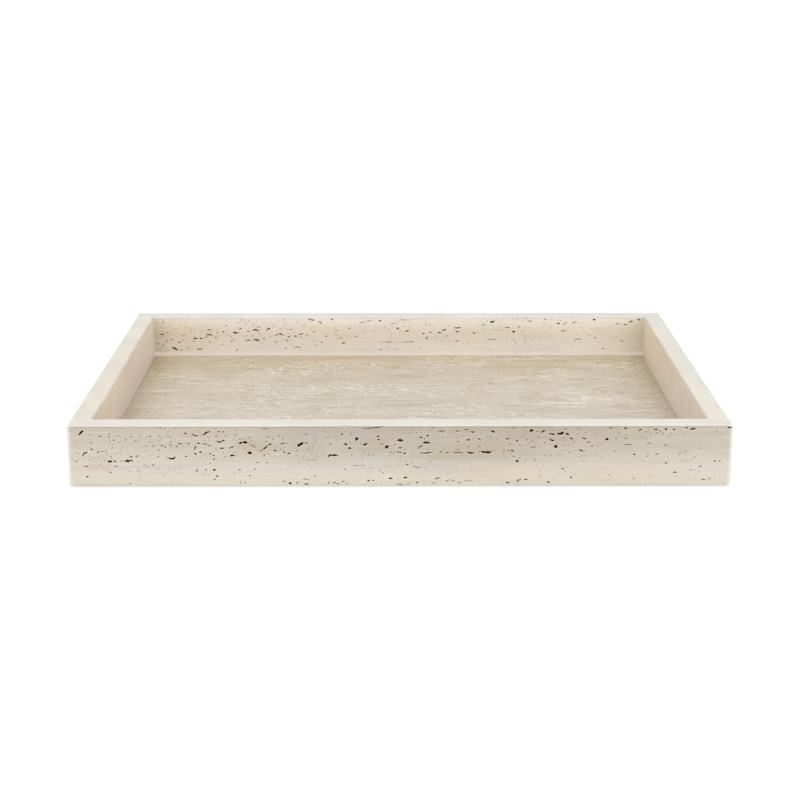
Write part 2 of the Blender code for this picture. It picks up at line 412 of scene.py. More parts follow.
def stoneFinish(name, low, high, look, inPores):
    recipe = Recipe(bpy.data.materials.new(name))
    spot = recipe.places()
    shifted = recipe.places(look["shift"])
    lit = recipe.axis(recipe.node("ShaderNodeNewGeometry", out="Normal"), "Z")

    def fade(value, kind):
        return recipe.step(value, *fades[kind])

    # beds: a run of tones across the slab, whose bounds wander; on the front and back walls the run also
    # holds painted light
    wander = recipe.grain(shifted, look["wanderReach"], *grains["wander"]) - 0.5
    start, end = look["bedRun"]
    run = (recipe.axis(spot, look["bedAxis"]) + wander * look["wander"] - start) * (1 / (end - start))
    tone = recipe.ramp(run, look["beds"])

    # patches, layers, streaks and mottling
    for reach, (startAt, endAt), amount, tint in look["patches"]:
        patch = recipe.grain(shifted, reach, *grains["patch"])
        tone = recipe.blend(recipe.step(patch, startAt, endAt) * amount, tone, tint, "MULTIPLY")
    mottle = recipe.grain(shifted, look["mottle"], *grains["mottle"])
    gather = fade(recipe.grain(shifted, look["gather"]), "gather")
    gather = gather * (shares["gatherLeast"] + mottle * shares["gatherMottle"])
    for reach, (startAt, endAt), amount, tint in look["dashes"]:
        dash = recipe.grain(shifted, reach, *grains["dash"])
        tone = recipe.blend(recipe.step(dash, startAt, endAt) * gather.lower(1) * amount, tone, tint)
    tone = recipe.blend(fade(mottle, "mottle") * shares["mottle"], tone, look["mottleTint"], "MULTIPLY")

    # hairline seams, pale or brown, where an old crack healed
    seamField = recipe.grain(shifted, look["seamReach"], *grains["seam"])
    seamPatch = fade(recipe.grain(shifted, look["gather"]), "seamPatch")
    brownSeam = recipe.around(seamField, *seamLines["brown"]) * seamPatch
    paleSeam = recipe.around(seamField, *seamLines["pale"]) * (1 - seamPatch)
    tone = recipe.blend(brownSeam * look["seams"], tone, stoneTones["seam"], "MULTIPLY")
    tone = recipe.blend(paleSeam * look["seams"], tone, stoneTones["pale"])

    # pinholes too small to cut, gathered as the pores are
    holePatch = fade(recipe.grain(shifted, look["holeGather"]), "holePatch")
    pinhole = fade(recipe.cells(shifted, look["holeCell"]), "hole") * holePatch * look["holes"]
    tone = recipe.blend(pinhole, tone, stoneTones["tan"])

    # stains where water left iron and pale veins, each at its own place
    for place, reach, amount, tint in look["stains"]:
        far = recipe.away(spot, look["stainPlane"], place, reach) + wander * shares["stainWander"]
        tone = recipe.blend(fade(far, "stain") * amount, tone, tint, "MULTIPLY")
    for place, reach, wave, lines, amount, tint in look["ripples"]:  # beds that fold, seen as contours
        near = fade(recipe.away(spot, look["stainPlane"], place, reach), "ripple")
        line = fade((recipe.grain(shifted, wave) * lines).sum("FRACT"), "rippleLine")
        tone = recipe.blend(line * near * amount, tone, tint, "MULTIPLY")

    if look["sway"]:  # a slow change along the slab; on the back wall and the floor its darker ends are painted shade by the side walls
        along = (recipe.axis(spot, "X") + wander * look["swayWander"]) * (1 / wallLength) + 0.5
        above = recipe.step(run, *look["swayFrom"])
        tone = recipe.blend(above, tone, recipe.ramp(along, look["sway"]), "MULTIPLY")
    if look["rim"]:  # the ground rim is paler than the sawn faces, and rubbing spreads its tone down
        rimPatch = fade(recipe.grain(shifted, rimWaves["patch"]), "rimPatch")
        rub = (recipe.grain(shifted, rimWaves["rub"], *grains["rub"]) - 0.5) * look["rimRub"]
        top = rimHeight / mm
        nearTop = recipe.step(recipe.axis(spot, "Z") + rub, top - look["rimReach"], top)
        onRim = fade(lit, "rimUp").higher(nearTop) * shares["rim"]
        tone = recipe.blend(onRim, tone, recipe.blend(rimPatch, *look["rim"]))
        # painted highlight: faces that turn up between the rim and the upright faces are painted the pale
        # arris tone
        highlightShare = (shares["arrisLeast"] + rimPatch * shares["arrisPatch"]).lower(1) * look["arrisHighlight"]
        tone = recipe.blend(fade(lit, "arrisUp") * fade(lit, "arrisTop") * highlightShare, tone, stoneTones["arris"])
    if look["rub"]:  # painted light: the outer corner edges and the rim's front edge are painted pale as highlights, and a thin painted shade line runs under the rim
        rub = look["rub"]
        wide = 1 + wander * rub["waver"]
        fromEnd = wallLength / 2 - recipe.axis(spot, "X").sum("ABSOLUTE")
        fromFace = recipe.axis(spot, "Y") - low.y / mm
        cornerHighlight = recipe.step(fromEnd.higher(fromFace) * wide, *rub["end"]) * rub["endAmount"]
        tone = recipe.blend(cornerHighlight, tone, rub["cornerHighlightTone"])
        rimEdgeHighlight = recipe.step(fromFace * wide, *rub["edge"]) * fade(lit, "edgeUp") * rub["edgeAmount"]
        tone = recipe.blend(rimEdgeHighlight, tone, rub["rimEdgeHighlightTone"])
        below = rimHeight / mm - recipe.axis(spot, "Z")
        line = recipe.around(below * wide, *rub["line"]) * fade(lit, "faceUp")
        tone = recipe.blend(line, tone, rub["rimShadeTint"], "MULTIPLY")
    if inPores:
        deep = depthInside(recipe, spot, low, high)
        # painted light in the pores: lips that look up get the pale painted highlight, and the inside
        # darkens with depth to a brown that is partly deposits and partly painted shade, lighter where its
        # faces look up as painted light
        lipHighlight = fade(deep, "lipDeep") * fade(lit, "lipUp") * shares["lip"]
        tone = recipe.blend(lipHighlight, tone, stoneTones["arris"])
        inner = recipe.blend(fade(lit, "poreUp") * shares["poreLight"], *look["poreShadedAndLitTones"])
        tone = recipe.blend(fade(deep, "poreDeep"), tone, inner)

    height = mottle * stoneSkin["mottle"] - pinhole * stoneSkin["pinhole"] - brownSeam * stoneSkin["seam"]
    roughness = stoneSkin["rough"] + (mottle - 0.5) * stoneSkin["roughSpread"]
    shine = {"Specular IOR Level": stoneSkin["poreShine" if inPores else "shine"]}
    relief = recipe.bump(height, stoneSkin["depth"], stoneSkin["strength"])
    return recipe.finish(tone, roughness, relief, **shine)


def addFinishes(piece, name, low, high, look):  # material 0 is the sawn stone and 1 its pores
    for part, inPores in (("Stone", False), ("Pores", True)):
        piece.data.materials.append(stoneFinish(name + part, low, high, look, inPores))


# every row is one pore read off the photograph: its pixel, its length and height in pixels and,
# where they aren't 0, its slope in degrees and how far its middle bows up against its height
frontPixels = {"left": 67.5, "right": 731.9, "top": 424.5, "bottom": 488.1, "longer": 1.1, "taller": 1.3}
frontPores = (
    (81.4, 431.9, 6.5, 2, 45), (84.8, 454.2, 7, 1.8, 42, 0.2), (91.3, 449.3, 3, 1, 25),
    (100.7, 435.6, 3, 1, 20), (109, 436.7, 1.6, 1), (113.8, 439.4, 1.6, 1.2), (118.6, 435, 1.5, 0.9),
    (125.7, 439.4, 1.6, 1), (160.6, 426.8, 1.8, 1), (98, 452.3, 4, 1, 38), (102, 451.3, 2.4, 1.1),
    (105.6, 451, 1.8, 1), (109, 461.9, 4.4, 2, 5), (114, 462.2, 2.2, 1.5), (127.8, 461.9, 8.2, 1.9, 4, 0.2),
    (121, 461.5, 2.6, 0.7), (130.5, 457, 2.6, 1.2), (136.6, 456.6, 3.4, 1, 30), (85.4, 467.3, 2.4, 1.5),
    (115.2, 467.3, 2, 1.1), (109.3, 473.7, 2.6, 1, 0, 0.3), (85.7, 478.3, 2.4, 1.4),
    (136.9, 472, 2.6, 0.8, -10), (152, 465.9, 2.2, 1), (128.4, 485.5, 1.8, 0.8),
    (170.4, 456.9, 9, 1.5, 4, -1), (185.5, 457, 2.2, 1.2), (161.6, 445.5, 2, 1, 20), (164.8, 447, 1.6, 1),
    (170.4, 444.7, 2, 1), (179.9, 443.5, 4, 1.4, -8), (176.4, 446.2, 2.4, 0.9, 35),
    (188.4, 443.4, 2.2, 1.3), (185.5, 432.4, 3.2, 1.2, 10), (195, 433.5, 6.4, 1.3, -18, -0.7),
    (206.3, 431.9, 9, 1.4, 26, -0.3), (198.4, 443.2, 3.6, 1.1), (194.8, 447.9, 4.4, 1.2, 68),
    (204.7, 444.3, 5, 1.2, -4), (209.6, 445.4, 2.6, 0.9), (219, 431.1, 2.4, 1.1), (223.2, 431.2, 2.2, 1.1),
    (220.3, 440.4, 8.4, 1.5, 6, -0.4), (226.2, 435.1, 2, 0.9), (235.7, 434.3, 2, 0.9, 30),
    (243.7, 443.7, 10, 1.9, -2, 0.5), (252.6, 446.4, 7, 1, -24, 0.3), (231, 447.5, 4.2, 1.5, 28),
    (221.4, 448.3, 4.2, 1.3, -4), (265, 448, 6.4, 1.5, 44, 0.2), (269.8, 444.5, 4.2, 1, 10),
    (249.3, 453.4, 4.4, 2.5), (231.8, 456.6, 5.2, 1.5, 5, 0.3), (199.9, 452.6, 2.6, 1.4),
    (195, 453.9, 2.6, 1.5), (209.4, 454.2, 2.2, 1.2, -30), (213.4, 459.8, 3, 1.2, 40), (213, 456, 2, 1.1),
    (274.8, 451, 3.4, 1.4, -12), (283.6, 452.6, 2.4, 1.1, -20), (288.4, 453.9, 3, 1.5),
    (283.4, 443.8, 8, 0.8, 6, 0.9), (213.4, 471, 3.2, 1.7), (204.7, 471, 2.2, 1), (195.9, 471.8, 3, 1, 55),
    (239, 471, 2.4, 0.9), (254, 470.6, 1.8, 1), (215.8, 477.8, 2.2, 1.4), (213.4, 481.3, 2, 1.1, 30),
    (289.2, 485.6, 3.2, 1.8), (257, 463.3, 2.4, 0.9, 20), (266, 463.6, 2, 0.9), (300.2, 444.4, 7, 2.8, 38),
    (306.2, 443, 2.4, 1.3, -10), (332.6, 457.2, 10, 1.9, 12, 0.8), (330.2, 443.9, 2.2, 1.2),
    (345.3, 444.3, 3.2, 1.7, -15), (349.2, 448.6, 3, 1.8), (341.7, 434, 2.4, 1.2),
    (356.5, 438.8, 4.2, 2.2, 58), (365.1, 444.3, 4.2, 2.6, 20), (377.6, 435.9, 3, 1.4),
    (378.3, 439.4, 3, 1.4, -15), (381.5, 443.9, 3, 1.2, 18), (386.3, 446.7, 3.8, 2.8, 15),
    (399.9, 440.7, 6.2, 2.2, 0, 0.4), (399.6, 448.3, 4.2, 1), (399, 452.6, 5, 1.1),
    (404.3, 453.9, 3, 1.4, -15), (420.6, 437, 2.6, 1.5), (427.3, 435.4, 2.6, 1.5),
    (426, 443.2, 6.6, 2.3, -4, 0.2), (420.2, 447.2, 6.6, 1.4, 36), (426.2, 453.1, 13, 1.2, 3, -0.2),
    (440.5, 452.6, 2.6, 1.1), (446.9, 453, 2.6, 1), (458, 453.1, 8, 1), (470.5, 452.6, 6.2, 1.7, -8, -0.7),
    (485.2, 452.4, 12, 1.9, 2, 0.1), (441.3, 430.3, 7, 1, 3), (456.8, 430.6, 3.2, 1.4, 15),
    (466, 428.9, 4.2, 1.1), (472.4, 431.3, 4, 1.2, 0, -0.3), (492.3, 431.1, 4.2, 1.6, -28),
    (479, 439, 3.2, 1.5, -38), (468, 439.9, 3, 1.5), (457.4, 441.3, 2, 1), (468.4, 446.8, 1.8, 1),
    (479.2, 446.4, 1.8, 1), (457.4, 449.6, 1.8, 1), (372.6, 426.9, 22, 0.8, 7, -0.4),
    (333.7, 484.8, 3.2, 1.3, 25), (305, 481.8, 5.4, 1, 0, 0.4), (305.8, 486, 4.4, 1.1),
    (368, 482.6, 2.8, 1.2), (372.8, 482.6, 2.2, 1), (390.3, 480.2, 3.7, 1.5, 8),
    (405, 480, 4.4, 1.4, 0, 0.2), (417, 484.8, 2.6, 1.1), (437.8, 480.5, 6.2, 0.9, 14),
    (452, 482.6, 6, 0.7, -14), (459.5, 484.4, 5, 0.7, -6, -0.8), (357.6, 467, 15, 0.4, 3, 0.8),
    (407, 465.9, 2.6, 1.1, -15), (416.4, 468.3, 8, 0.7, -10), (311, 460.6, 13, 0.5, 0, 0.4),
    (531, 430.3, 3.8, 2.3, 20), (537, 430.8, 2, 1.1), (542.7, 431.1, 4.2, 1.6, 30),
    (551.4, 434.3, 6, 2.1, -5, 0.3), (560, 432.9, 6.4, 2.4, 14), (567, 433.9, 4.4, 1.7, -20),
    (564.8, 428.4, 1.6, 0.9, 62), (551.6, 439.4, 5, 1.5, -20, -0.4), (555.5, 447, 3.2, 3.2),
    (571, 438.6, 3, 1.4, -18), (583.7, 438.3, 4.4, 1.7, -16), (588.5, 442.3, 3, 1.4),
    (577.3, 433.5, 1.8, 1), (606.5, 439.4, 3.4, 2.2, -12), (615.6, 438.6, 1.8, 1, 30),
    (625.2, 438.3, 1.8, 1), (610, 427.6, 2.4, 1.2), (624.8, 427.6, 3.2, 1.5, -12),
    (639.5, 429.2, 3, 1.3, 30), (655, 428.6, 3.4, 1.4, 0, -0.4), (659.2, 430.6, 3, 1.1, -20),
    (665, 428.9, 2.8, 1.5, -25), (673, 428.9, 2.2, 1.4), (685.7, 427.3, 3.2, 1.2, -30),
    (692.2, 428.5, 6, 1.6, 12), (728.6, 426.9, 4.2, 1.3, 4), (532.7, 447.5, 6.2, 1, -4, -0.3),
    (507, 439, 4.2, 1.1, 15), (516.7, 440.7, 3.4, 1.1, -28), (512, 451.4, 3, 1.4, -18),
    (513.6, 457.1, 2.4, 1.3), (517.2, 462.2, 3.2, 2), (581.3, 451, 5.2, 1, -20), (508, 485.3, 3.6, 1.2),
    (519, 483, 6.4, 1.3, 34), (526.3, 481.8, 2.8, 1.4), (549, 484.8, 3.2, 1.3, -28),
    (634.3, 455.8, 3, 1.1, 0, 0.3), (657, 455, 3.2, 1, 20), (647.5, 457, 2.4, 0.9),
    (666.6, 464.6, 2.4, 1.1), (676.2, 475.4, 4.4, 1.1, 10, 0.6), (704.9, 481.8, 4.4, 1, -4),
    (711, 480.8, 2, 1), (635, 480.5, 2, 1), (571.7, 479.7, 2.2, 1.1, 30), (563, 470.2, 2.2, 1.2),
    (701, 467.8, 3.4, 1, 30), (715.6, 462.5, 2.2, 1.2), (720.5, 462.5, 2, 1), (627.6, 444.7, 8, 0.8),
    (649, 444.3, 5, 0.9, 0, 0.4), (665, 445.5, 3, 1, -20), (691.4, 471.8, 1.8, 0.9),
    (239.3, 485.2, 1.8, 0.9), (244, 485, 1.8, 0.9), (248.8, 477, 2, 0.9), (283.3, 483.4, 3, 0.9, 10),
    (296.4, 484.8, 2.4, 1), (314.3, 477.5, 2, 0.9), (328, 485, 1.8, 1), (337.4, 486, 2.2, 1, -20),
    (342.6, 483.2, 3.6, 0.8), (346, 486.3, 1.8, 0.8), (399, 486.6, 7, 0.7), (407.6, 486.5, 3, 0.7),
    (433.6, 485.6, 5, 0.7, 6), (447, 483, 3, 0.8, 15), (468.6, 483.2, 9, 0.6, -6, 0.6),
    (379.8, 471.6, 1.8, 0.9), (382.4, 474.4, 1.8, 0.8), (344, 470.8, 1.8, 0.8), (110, 432.8, 1.8, 0.9),
    (131.4, 436, 2.4, 0.8), (139.6, 435.5, 1.8, 0.8), (150, 435.6, 2.4, 0.8), (158.6, 435.8, 2, 0.8),
    (146, 445.6, 1.8, 0.9), (152.6, 446, 2, 0.9), (158.2, 450, 1.8, 0.9), (216.4, 435.2, 1.8, 0.8),
    (240, 438.6, 2.2, 0.8), (248.8, 437.4, 2, 0.8), (267.6, 436, 2.2, 0.9, 20), (265.6, 441, 1.8, 0.8),
    (273, 438.8, 2.2, 0.8, -20), (279, 435.2, 2, 0.8), (283, 438.6, 1.8, 0.8), (260.4, 450.6, 1.8, 0.9),
    (263.8, 455.6, 1.8, 0.9), (280.2, 449, 1.8, 0.8), (296, 451.4, 2, 0.8), (308, 449.6, 1.8, 0.8),
)

backPixels = {"left": 152.9, "right": 644.9, "top": 316.2, "bottom": 356.7, "longer": 1.1, "taller": 1.25}
backPores = (
    (163.2, 322.4, 1.8, 0.9), (161.6, 334.3, 4.2, 1.1, -10), (172, 339.4, 2.6, 1.1),
    (179.1, 342.3, 3.2, 0.9), (174.4, 349, 6, 1.7, -24), (157.6, 344.2, 2.2, 1, -30),
    (162.4, 345.8, 2.6, 1, -30), (195.1, 338.3, 4.2, 1.3, -6), (200.7, 338.6, 2.8, 1.2),
    (205.5, 337.5, 2.6, 1, 25), (209.4, 335, 6, 1.7, -8, 0.2), (209.4, 329.9, 6, 0.7, 6, 0.8),
    (223.3, 331.5, 2.4, 1.1), (235.7, 332.3, 6.4, 1.3, 0, -0.6), (248.2, 331, 2.4, 0.9),
    (255.7, 329.9, 7.2, 1.3, -7), (258.9, 326.7, 4, 0.7), (268.4, 329.4, 5, 1.2, 20, 0.2),
    (247.7, 340.7, 7, 0.8, 8, 0.3), (256, 341, 6.2, 1.3, -12, 0.3), (279.6, 336.2, 9, 1.3, 0, 1.2),
    (288.4, 337, 2.8, 1), (295.5, 336.2, 2.8, 1.3), (199, 349.5, 6.4, 1), (236.5, 350.6, 2.6, 0.9, 30),
    (297, 347.7, 6.6, 0.9, 2, 0.4), (311.4, 318.9, 6.2, 1.1, -8), (320.2, 321.9, 5, 0.8, -45),
    (331.8, 318.6, 2.6, 1), (301, 333.8, 4.2, 1.1, 8), (313.8, 331.5, 1.8, 0.9), (343.3, 343.4, 3.4, 1, 12),
    (362.4, 321.9, 5, 0.7, 4), (368.8, 320.3, 4.2, 0.7, 12), (380, 320.3, 3, 1.1),
    (392.7, 323.5, 4, 0.8, 15), (397.5, 328.3, 3.2, 1.2, -20), (407, 331, 4.2, 1.2, 24),
    (423.5, 333.4, 2.6, 1.1), (430.2, 332.3, 3, 1.1), (439.7, 332.3, 4, 1, 0, -0.3),
    (444, 329.9, 4.2, 1.2, 12), (426.7, 338.2, 3.2, 1, 50), (457.3, 327.5, 7.2, 1.1),
    (457.3, 331.8, 3.2, 1.1), (387, 342.5, 16, 0.5, 0, 0.5), (408, 342.6, 14, 0.5, 3, 0.3),
    (457.3, 341.3, 5, 0.7), (474, 333, 3.4, 1, -20), (492.3, 321.4, 5, 1.6, 18),
    (483.6, 324.6, 4.2, 0.8, 10), (492.3, 339.7, 8.4, 0.7, 4), (403, 319.2, 6, 0.6),
    (380.7, 350.3, 2.4, 0.8, -20), (507.2, 327.1, 4.2, 0.9), (519, 326.7, 2.2, 0.9),
    (513.6, 331.8, 2.8, 1.7), (529.5, 320.3, 6.2, 0.7, 0, -0.8), (544.6, 319, 2.2, 0.9),
    (558.2, 323.2, 3.2, 1.2), (564, 324, 2, 0.9), (573.7, 322.2, 2.2, 1.2), (594, 319.1, 2.8, 1.5),
    (563.8, 330.7, 6.4, 0.7), (617.2, 323.5, 3, 1, 30), (625.2, 324.3, 2.6, 1.4),
    (630.7, 321.4, 5.2, 1, 12), (638.7, 319.2, 2.6, 1.4, -20), (587.7, 334.3, 1.8, 0.8),
    (595.3, 338.2, 2.2, 1), (578, 339.4, 8, 0.6), (622, 341.3, 3.4, 0.9), (603.6, 349.3, 2.2, 0.9),
    (183.5, 335.6, 2, 0.9), (187.6, 347.6, 2, 0.7), (166.8, 332.4, 1.8, 0.8), (159.4, 349.4, 2, 0.9),
    (166.8, 341.4, 2.4, 0.8, 20), (193.4, 341.4, 2, 0.8), (215.4, 337.6, 2.6, 0.8, 10),
    (217.8, 332.4, 2, 0.8), (227.6, 334.6, 2, 0.8), (240.4, 328.4, 2.6, 0.8, 15), (263.8, 338.8, 2.4, 0.8),
    (270, 336.6, 2, 0.8), (286.6, 340.6, 2.6, 0.8), (301, 337, 2, 0.8), (306.6, 335, 2.4, 0.9, 10),
    (314.2, 341.6, 2, 0.8), (321.4, 342.6, 2.4, 0.8), (326, 336.4, 2, 0.8), (336, 330.2, 2, 0.8),
    (349.2, 328.2, 2.4, 0.8), (356, 336.6, 2, 0.8), (275.6, 342.6, 2.2, 0.8), (231.4, 341.6, 2.4, 0.8),
    (222, 344.4, 2, 0.8), (209.6, 342.4, 2.2, 0.8), (285.4, 348.6, 2.2, 0.8), (180.6, 350.4, 2.2, 0.8),
    (226.4, 325.2, 2, 0.8), (291, 329.4, 2.2, 0.8),
)

poreLook = {
    "plain": {"kinds": 8, "slices": 6, "sides": 8, "swell": (0.7, 1.2), "wander": 0.25, "seed": 3},
    "ragged": {"kinds": 12, "slices": 13, "sides": 8, "swell": (0.40, 1.45), "wander": 0.55, "seed": 4},
    "keep": 0.8,  # how much of a slice's drift the next one keeps
    "tall": (0.75, 1.2),
    "deep": (0.85, 1.1),
    "raggedFrom": 2.0 * mm,
    "raggedSlimness": 3.2,
    "digits": 3,  # of a slice's place
    "same": 0.001,
}
# the worn edges slope by a share of the lip's depth, and more so below the pore
poreDepth = {
    "share": 1.7,
    "least": 0.6 * mm,
    "most": 2.6 * mm,
    "lip": 0.14 * mm,
    "lipFrom": 0.8 * mm,
    "lipAbove": 1.2,
    "lipBelow": -3.4,
}
chipDepth = {**poreDepth, "share": 0.5, "most": 1.1 * mm, "lip": 0}


def modelPoreKinds(look):
    # a rock along X for each kind of pore, thick and thin in turn and never quite straight
    dice = random.Random(look["seed"])
    kinds = []
    for number in range(look["kinds"]):
        clearPick()
        bpy.ops.mesh.primitive_uv_sphere_add(
            segments=look["sides"], ring_count=look["slices"], rotation=(0, math.radians(90), 0)
        )
        rock = bpy.context.object
        bpy.ops.object.transform_apply(location=True, rotation=True, scale=True)
        slices = {}
        drift = 0.0
        for x in sorted({round(point.co.x, poreLook["digits"]) for point in rock.data.vertices}):
            drift = drift * poreLook["keep"] + dice.uniform(-1, 1) * look["wander"]
            slices[x] = (dice.uniform(*look["swell"]), drift)
        for point in rock.data.vertices:
            swell, drift = slices[round(point.co.x, poreLook["digits"])]
            tall = point.co.z * swell * dice.uniform(*poreLook["tall"])
            point.co.z = tall + drift * (1 - point.co.x ** 2)
            point.co.y *= dice.uniform(*poreLook["deep"])
        rock.data.name = f"poreKind{look['seed']}_{number}"
        kinds.append((rock.data, findLips(rock.data.vertices, slices)))
        bpy.data.objects.remove(rock)
    return kinds


def findLips(points, slices):
    # by point number: its side of the pore, 1 above and -1 below, and whether it stands out of the stone
    lips = {}
    same = poreLook["same"]
    for x, (_, drift) in slices.items():
        middle = drift * (1 - x * x)
        ring = [point for point in points if round(point.co.x, poreLook["digits"]) == x and abs(x) < 1]
        for side in (1, -1):
            half = [point for point in ring if (point.co.z - middle) * side > same]
            level = [point for point in half if abs(point.co.y) < same]
            for point in half:
                if level and point.co.y < same:
                    lips[point.index] = (side, point.co.y < -same)
                    point.co.z = level[0].co.z
    return lips


def sinkPores(face, spots, seed, depth):
    # spots are rows of along, up, length, height, slope and bow, in metres and radians
    dice = random.Random(seed)
    rocks = []
    for along, up, length, height, slope, bow in spots:
        isRagged = length > max(poreLook["raggedFrom"], height * poreLook["raggedSlimness"])
        kind, lips = dice.choice(raggedKinds if isRagged else plainKinds)
        shape = kind.copy()
        deep = min(max(height * depth["share"], depth["least"]), depth["most"])
        lip = depth["lip"] if height > depth["lipFrom"] else 0
        flip = dice.choice((-1, 1))
        for point in shape.vertices:
            x, y, z = point.co
            z += bow * 2 * (1 - x * x)
            x, z, into = flip * x * length / 2, z * height / 2, y * deep
            side, isOut = lips.get(point.index, (0, False))
            if side and lip:
                into = -lip if isOut else lip
                z += isOut * lip * depth["lipAbove" if side > 0 else "lipBelow"]
            turnedX = x * math.cos(slope) - z * math.sin(slope)
            turnedZ = x * math.sin(slope) + z * math.cos(slope)
            point.co = face["start"] + face["along"] * (along + turnedX) + face["up"] * (up + turnedZ)
            point.co += face["inward"] * into
        if (flip < 0) != (face["along"].cross(face["inward"]).dot(face["up"]) < 0):
            shape.flip_normals()
        rock = bpy.data.objects.new("pore", shape)
        bpy.context.scene.collection.objects.link(rock)
        rocks.append(rock)
    pickOnly(*rocks)
    bpy.ops.object.join()
    return bpy.context.object


def faceFrame(start, inward, along=(1, 0, 0), up=(0, 0, 1)):
    return {"start": Vector(start), "along": Vector(along), "up": Vector(up), "inward": Vector(inward)}


def photoSpots(rows, pixels, length, height):
    # from photo pixels to a face that is length by height
    acrossPixel = length / (pixels["right"] - pixels["left"])
    upPixel = height / (pixels["bottom"] - pixels["top"])
    spots = []
    for x, y, long, tall, *lean in rows:
        slope, bow = (*lean, 0, 0)[:2]
        along = (x - pixels["left"]) * acrossPixel
        up = (pixels["bottom"] - y) * upPixel
        size = (long * acrossPixel * pixels["longer"], tall * upPixel * pixels["taller"])
        spots.append((along, up, *size, math.radians(slope), bow))
    return spots


finePores = {"length": (0.65 * mm, 1.75 * mm), "height": (0.34 * mm, 0.7 * mm)}
smallPores = {"length": (1.4 * mm, 3.2 * mm), "height": (0.6 * mm, 1.2 * mm)}
largePores = {"length": (2.0 * mm, 6.5 * mm), "height": (0.8 * mm, 2.0 * mm)}
scatterLook = {
    "gap": 0.25 * mm,
    "tallest": 1.8,  # a pore's own height, with its bow and its rough parts
    "margin": 1.4 * mm,
    "tries": 40,
    "layerWave": (45 * mm, 4.5 * mm),
    "patchWave": (28 * mm, 16 * mm),
    "patchSeed": 9,
    "chance": 0.30,
    "layer": 0.9,
    "patch": 0.5,
    "bare": 0.7,
    "left": (0.25, 0.4),  # more at the left end
    "right": (9.0, 0.76, 0.66),  # and fewer low at the right end
    "long": (0.6, 1),
    "slope": (3, 16),
    "bow": (-0.5, 0.6),
}


def roomFor(spot, taken):
    for other in taken:
        apart = (spot[2] + other[2]) / 2 + scatterLook["gap"]
        tall = (spot[3] + other[3]) / 2 * scatterLook["tallest"] + scatterLook["gap"]
        tall += abs(math.sin(other[4])) * other[2] / 2
        if abs(spot[0] - other[0]) < apart and abs(spot[1] - other[1]) < tall:
            return False
    return True


def scatterSpots(length, height, number, sizes, seed, taken=(), footShare=0.45):
    # pores gather in layers and in patches, and thin out near the foot
    dice = random.Random(seed)
    look = scatterLook
    (more, leftEnd), (fewer, rightFrom, rightBelow) = look["left"], look["right"]
    spots = []

    def crowding(along, up, waves, shift):
        return noise.noise(Vector((along / waves[0], seed + shift, up / waves[1])))

    for _ in range(number * look["tries"]):
        along = dice.uniform(look["margin"], length - look["margin"])
        up = dice.uniform(look["margin"], height - look["margin"])
        layer = crowding(along, up, look["layerWave"], 0)
        patch = crowding(along, up, look["patchWave"], look["patchSeed"])
        bare = max(0, footShare - up / height) / footShare
        ends = more * max(0, leftEnd - along / length)
        ends -= fewer * max(0, along / length - rightFrom) * max(0, rightBelow - up / height)
        chance = look["chance"] + look["layer"] * layer + look["patch"] * patch - look["bare"] * bare + ends
        if dice.random() > chance:
            continue
        long = dice.uniform(*sizes["length"]) * dice.uniform(*look["long"])
        tall = dice.uniform(*sizes["height"])
        spot = (along, up, long, tall, math.radians(dice.gauss(*look["slope"])), dice.uniform(*look["bow"]))
        if roomFor(spot, [*taken, *spots]):
            spots.append(spot)
            if len(spots) == number:
                break
    return spots


def scatterTwice(length, height, sizes, numbers, seeds):  # the larger pores, then fine ones between them
    large = scatterSpots(length, height, numbers[0], sizes, seeds[0])
    return large + scatterSpots(length, height, numbers[1], finePores, seeds[1], large)


plainKinds = modelPoreKinds(poreLook["plain"])
raggedKinds = modelPoreKinds(poreLook["ragged"])

wallLook = {
    "outer": {"width": 0.6 * mm, "steps": 3, "wear": 0.22 * mm, "wave": 8 * mm},
    "inner": {"width": 1.3 * mm, "steps": 5, "wear": 3.6 * mm, "wave": 24 * mm},
    "wearFrom": 0.1,
    "unlike": 40,  # sets each edge's noise apart
    "fade": 16 * mm,
    "innerReach": 2 * mm,
    "slices": 80,
    "rows": 7,
}


def easeEdges(piece, isEased, arris):
    pickEdges(piece, isEased)
    bpy.ops.mesh.bevel(offset=arris["width"], segments=arris["steps"], affect="EDGES")
    leaveEdit()


def wearArrises(piece, low, high, axis, isInnerTop=None):
    # the long eased edges are rubbed by hand, so their width wanders
    pickEdges(piece, lambda start, end: abs((start - end)[axis]) > longEdge)
    bpy.ops.mesh.subdivide(number_cuts=wallLook["slices"])
    leaveEdit()
    centre = (low + high) / 2
    across = [i for i in range(3) if i != axis]
    unlike = (low[across[0]] * wallLook["unlike"], high.z * wallLook["unlike"])
    for point in piece.data.vertices:
        isInner = bool(isInnerTop and isInnerTop(point.co))
        arris = wallLook["inner" if isInner else "outer"]
        depths = [min(point.co[i] - low[i], high[i] - point.co[i]) for i in across]
        if touch / 2 < max(depths) <= arris["width"] + hair:
            spot = Vector((point.co[axis] / arris["wave"], *unlike))
            fromEnd = min(point.co[axis] - low[axis], high[axis] - point.co[axis])
            fade = min(1, fromEnd / wallLook["fade"]) if isInner else 1
            wear = max(0, noise.noise(spot) + wallLook["wearFrom"]) * fade * arris["wear"]
            rub = wear / arris["width"]
            for i, depth in zip(across, depths):
                point.co[i] += math.copysign(depth * rub, centre[i] - point.co[i])


def cutPores(wall, face, spots, seed, finishNumber=1, depth=poreDepth):
    # the cut faces keep the cutter's material number
    cutter = sinkPores(face, spots, seed, depth)
    cutter.data.materials.clear()
    for finish in wall.data.materials:
        cutter.data.materials.append(finish)
    for side in cutter.data.polygons:
        side.material_index = finishNumber
    cutWith(wall, cutter)


